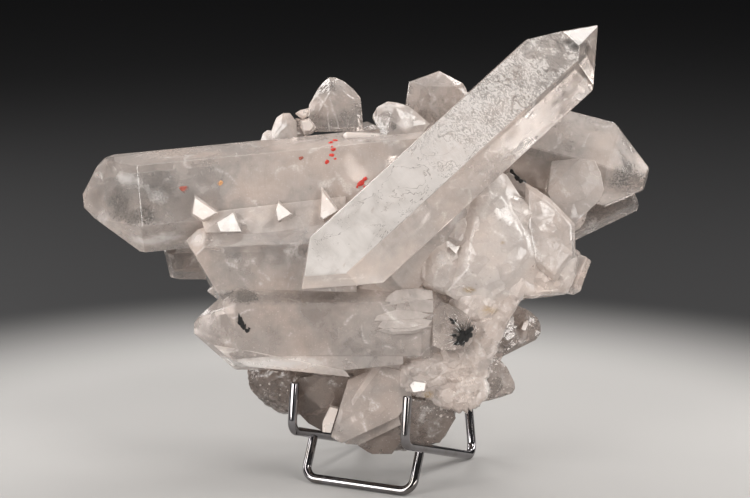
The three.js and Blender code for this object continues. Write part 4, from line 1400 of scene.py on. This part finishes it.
# %% Chrome with smudges and scratches
WIRE_SHARP_FROM = deg(40)
CLEAN_TINT, SMUDGED_TINT = (0.255, 0.245, 0.255, 1), (0.19, 0.175, 0.165, 1)
chrome = Wiring("chrome")
smudge = chrome.noise(chrome.here, 110, 4, 0.62)
scratch = chrome.noise(chrome.here, 700, 2, 0.6, 0.4, (1, 1, 0.12))
chrome.put(chrome.mix(chrome.span(smudge, 0.4, 0.68), CLEAN_TINT, SMUDGED_TINT), chrome.inputs["Base Color"])
chrome.put(1.0, chrome.inputs["Metallic"])
dull = chrome.span(smudge, 0.35, 0.7, 0.05, 0.13) + chrome.span(scratch, 0.55, 0.75) * 0.06
chrome.put(dull, chrome.inputs["Roughness"])
chrome.put(chrome.bump(scratch, 0.03, 0.0002), chrome.inputs["Normal"])
for wire in (easel, foot):
    wire.data.materials.append(chrome.material)
    wire.data.shade_smooth()
    wire.data.set_sharp_from_angle(angle=WIRE_SHARP_FROM)
print(len(chrome.nodes), "nodes in the chrome")

# %% [markdown]
# ## Grains and needles
# Rust and red iron are dull and warm, the black mineral swallows nearly all light, and fresh needles
# shine a little. Each is two tones of one mineral, mottled finely, because a grain of one flat colour
# looks painted.

# %% Finishes of the grains and needles
MOTTLE = 1800


def mineral(name, dark, light, roughness):
    """Two tones of one mineral, mixed by a fine noise, with a little relief."""
    made = Wiring(name)
    mottle = made.noise(made.here, MOTTLE, 3, 0.6)
    made.put(made.mix(made.span(mottle, 0.35, 0.65), (*dark, 1), (*light, 1)), made.inputs["Base Color"])
    made.put(roughness, made.inputs["Roughness"])
    made.put(made.bump(mottle, 0.4, 0.0002), made.inputs["Normal"])
    return made.material


sealed = [(rust, mineral("rust", (0.20, 0.035, 0.025), (0.42, 0.12, 0.08), 0.7)),
          (red, mineral("red_iron", (0.42, 0.02, 0.015), (0.70, 0.06, 0.04), 0.6)),
          (ochre, mineral("ochre", (0.45, 0.20, 0.08), (0.75, 0.42, 0.20), 0.8)),
          (black, mineral("black_mineral", (0.003, 0.003, 0.003), (0.014, 0.013, 0.012), 0.85)),
          (dark_needles, mineral("dark_needle", (0.01, 0.01, 0.01), (0.06, 0.055, 0.05), 0.4)),
          (pale_needles, mineral("pale_needle", (0.60, 0.60, 0.58), (0.85, 0.85, 0.83), 0.4))]
for piece, finish in sealed:
    piece.data.materials.clear()
    piece.data.materials.append(finish)
    piece.data.shade_smooth()
print(len(sealed), "pieces sealed in the stone")

# %% What each piece rides on and stands for
for piece, finish in sealed:
    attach(piece, "root")

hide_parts("cluster")
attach(stone, "root")
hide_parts("stand_easel")
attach(easel, "root")
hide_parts("stand_foot")
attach(foot, "root")
print("the stone, two wires and", len(sealed), "sealed pieces ride on the root")

# %% [markdown]
# ## Floor and light
# A clear stone shows what is around it. So the floor is pale and plain near the stone and dark far
# out, where it would shine through the clear tips, and large soft lamps stand all round: the one on
# the front right is the one that the small facets throw back.

# %% Floor
FLOOR_HALF = 3.0
PALE_TO = 0.20
DARK_FROM = 0.38
PALE_FLOOR, DARK_FLOOR = (0.42, 0.412, 0.403, 1), (0.012, 0.012, 0.013, 1)
floor_corners = [(-FLOOR_HALF, -FLOOR_HALF, 0), (FLOOR_HALF, -FLOOR_HALF, 0),
                 (FLOOR_HALF, FLOOR_HALF, 0), (-FLOOR_HALF, FLOOR_HALF, 0)]
floor_mesh = bpy.data.meshes.new("floor")
floor_mesh.from_pydata(floor_corners, [], [(0, 1, 2, 3)])
floor = add("floor", floor_mesh)
paper = Wiring("paper")
away = paper.span(paper.vector("LENGTH", paper.here, out="Value"), PALE_TO, DARK_FROM)
paper.put(paper.mix(away, PALE_FLOOR, DARK_FLOOR), paper.inputs["Base Color"])
paper.put(0.8, paper.inputs["Roughness"])
floor_mesh.materials.append(paper.material)
print("the floor is", 2 * FLOOR_HALF, "m wide")

# %% Lights
AIM = Vector((0, 0, 0.1))
SOFT_WHITE, WARM_WHITE = (1, 0.98, 0.96), (1, 0.97, 0.94)
# rows: name, place, width, height, watts, colour
LAMPS = [("top", (0.0, 0.0, 1.3), 1.0, 0.7, 3.6, WARM_WHITE),
         ("front_left", (-0.83, -0.83, 0.5), 0.6, 0.6, 9, SOFT_WHITE),
         ("front_right", (0.66, -0.73, 0.87), 0.5, 0.5, 8.5, WARM_WHITE),
         ("low_left", (-0.85, -0.75, 0.08), 0.8, 0.2, 5, SOFT_WHITE),
         ("low_right", (0.75, -0.85, 0.08), 0.8, 0.2, 4, SOFT_WHITE),
         ("left", (-1.0, 0.16, 0.5), 0.3, 0.8, 5, SOFT_WHITE),
         ("right", (1.0, 0.10, 0.45), 0.3, 0.8, 6, SOFT_WHITE),
         ("back_right", (0.60, 0.62, 1.22), 0.6, 0.5, 7.5, SOFT_WHITE),
         ("back_left", (-0.75, 0.75, 0.7), 0.6, 0.5, 5.0, SOFT_WHITE)]
for name, place, width, height, watts, colour in LAMPS:
    box = bpy.data.lights.new(name, "AREA")
    box.shape = "RECTANGLE"
    box.size = width
    box.size_y = height
    box.energy = watts
    box.color = colour
    lamp = add(name, box)
    lamp.location = place
    lamp.visible_camera = False
    lamp.rotation_euler = (AIM - Vector(place)).to_track_quat("-Z", "Y").to_euler()
AIR = (0.045, 0.045, 0.047, 1)
world = bpy.data.worlds.new("studio")
bpy.context.scene.world = world
world.use_nodes = True
world.node_tree.nodes["Background"].inputs["Color"].default_value = AIR
bpy.context.scene.view_settings.view_transform = "Standard"
print(len(LAMPS), "lamps")
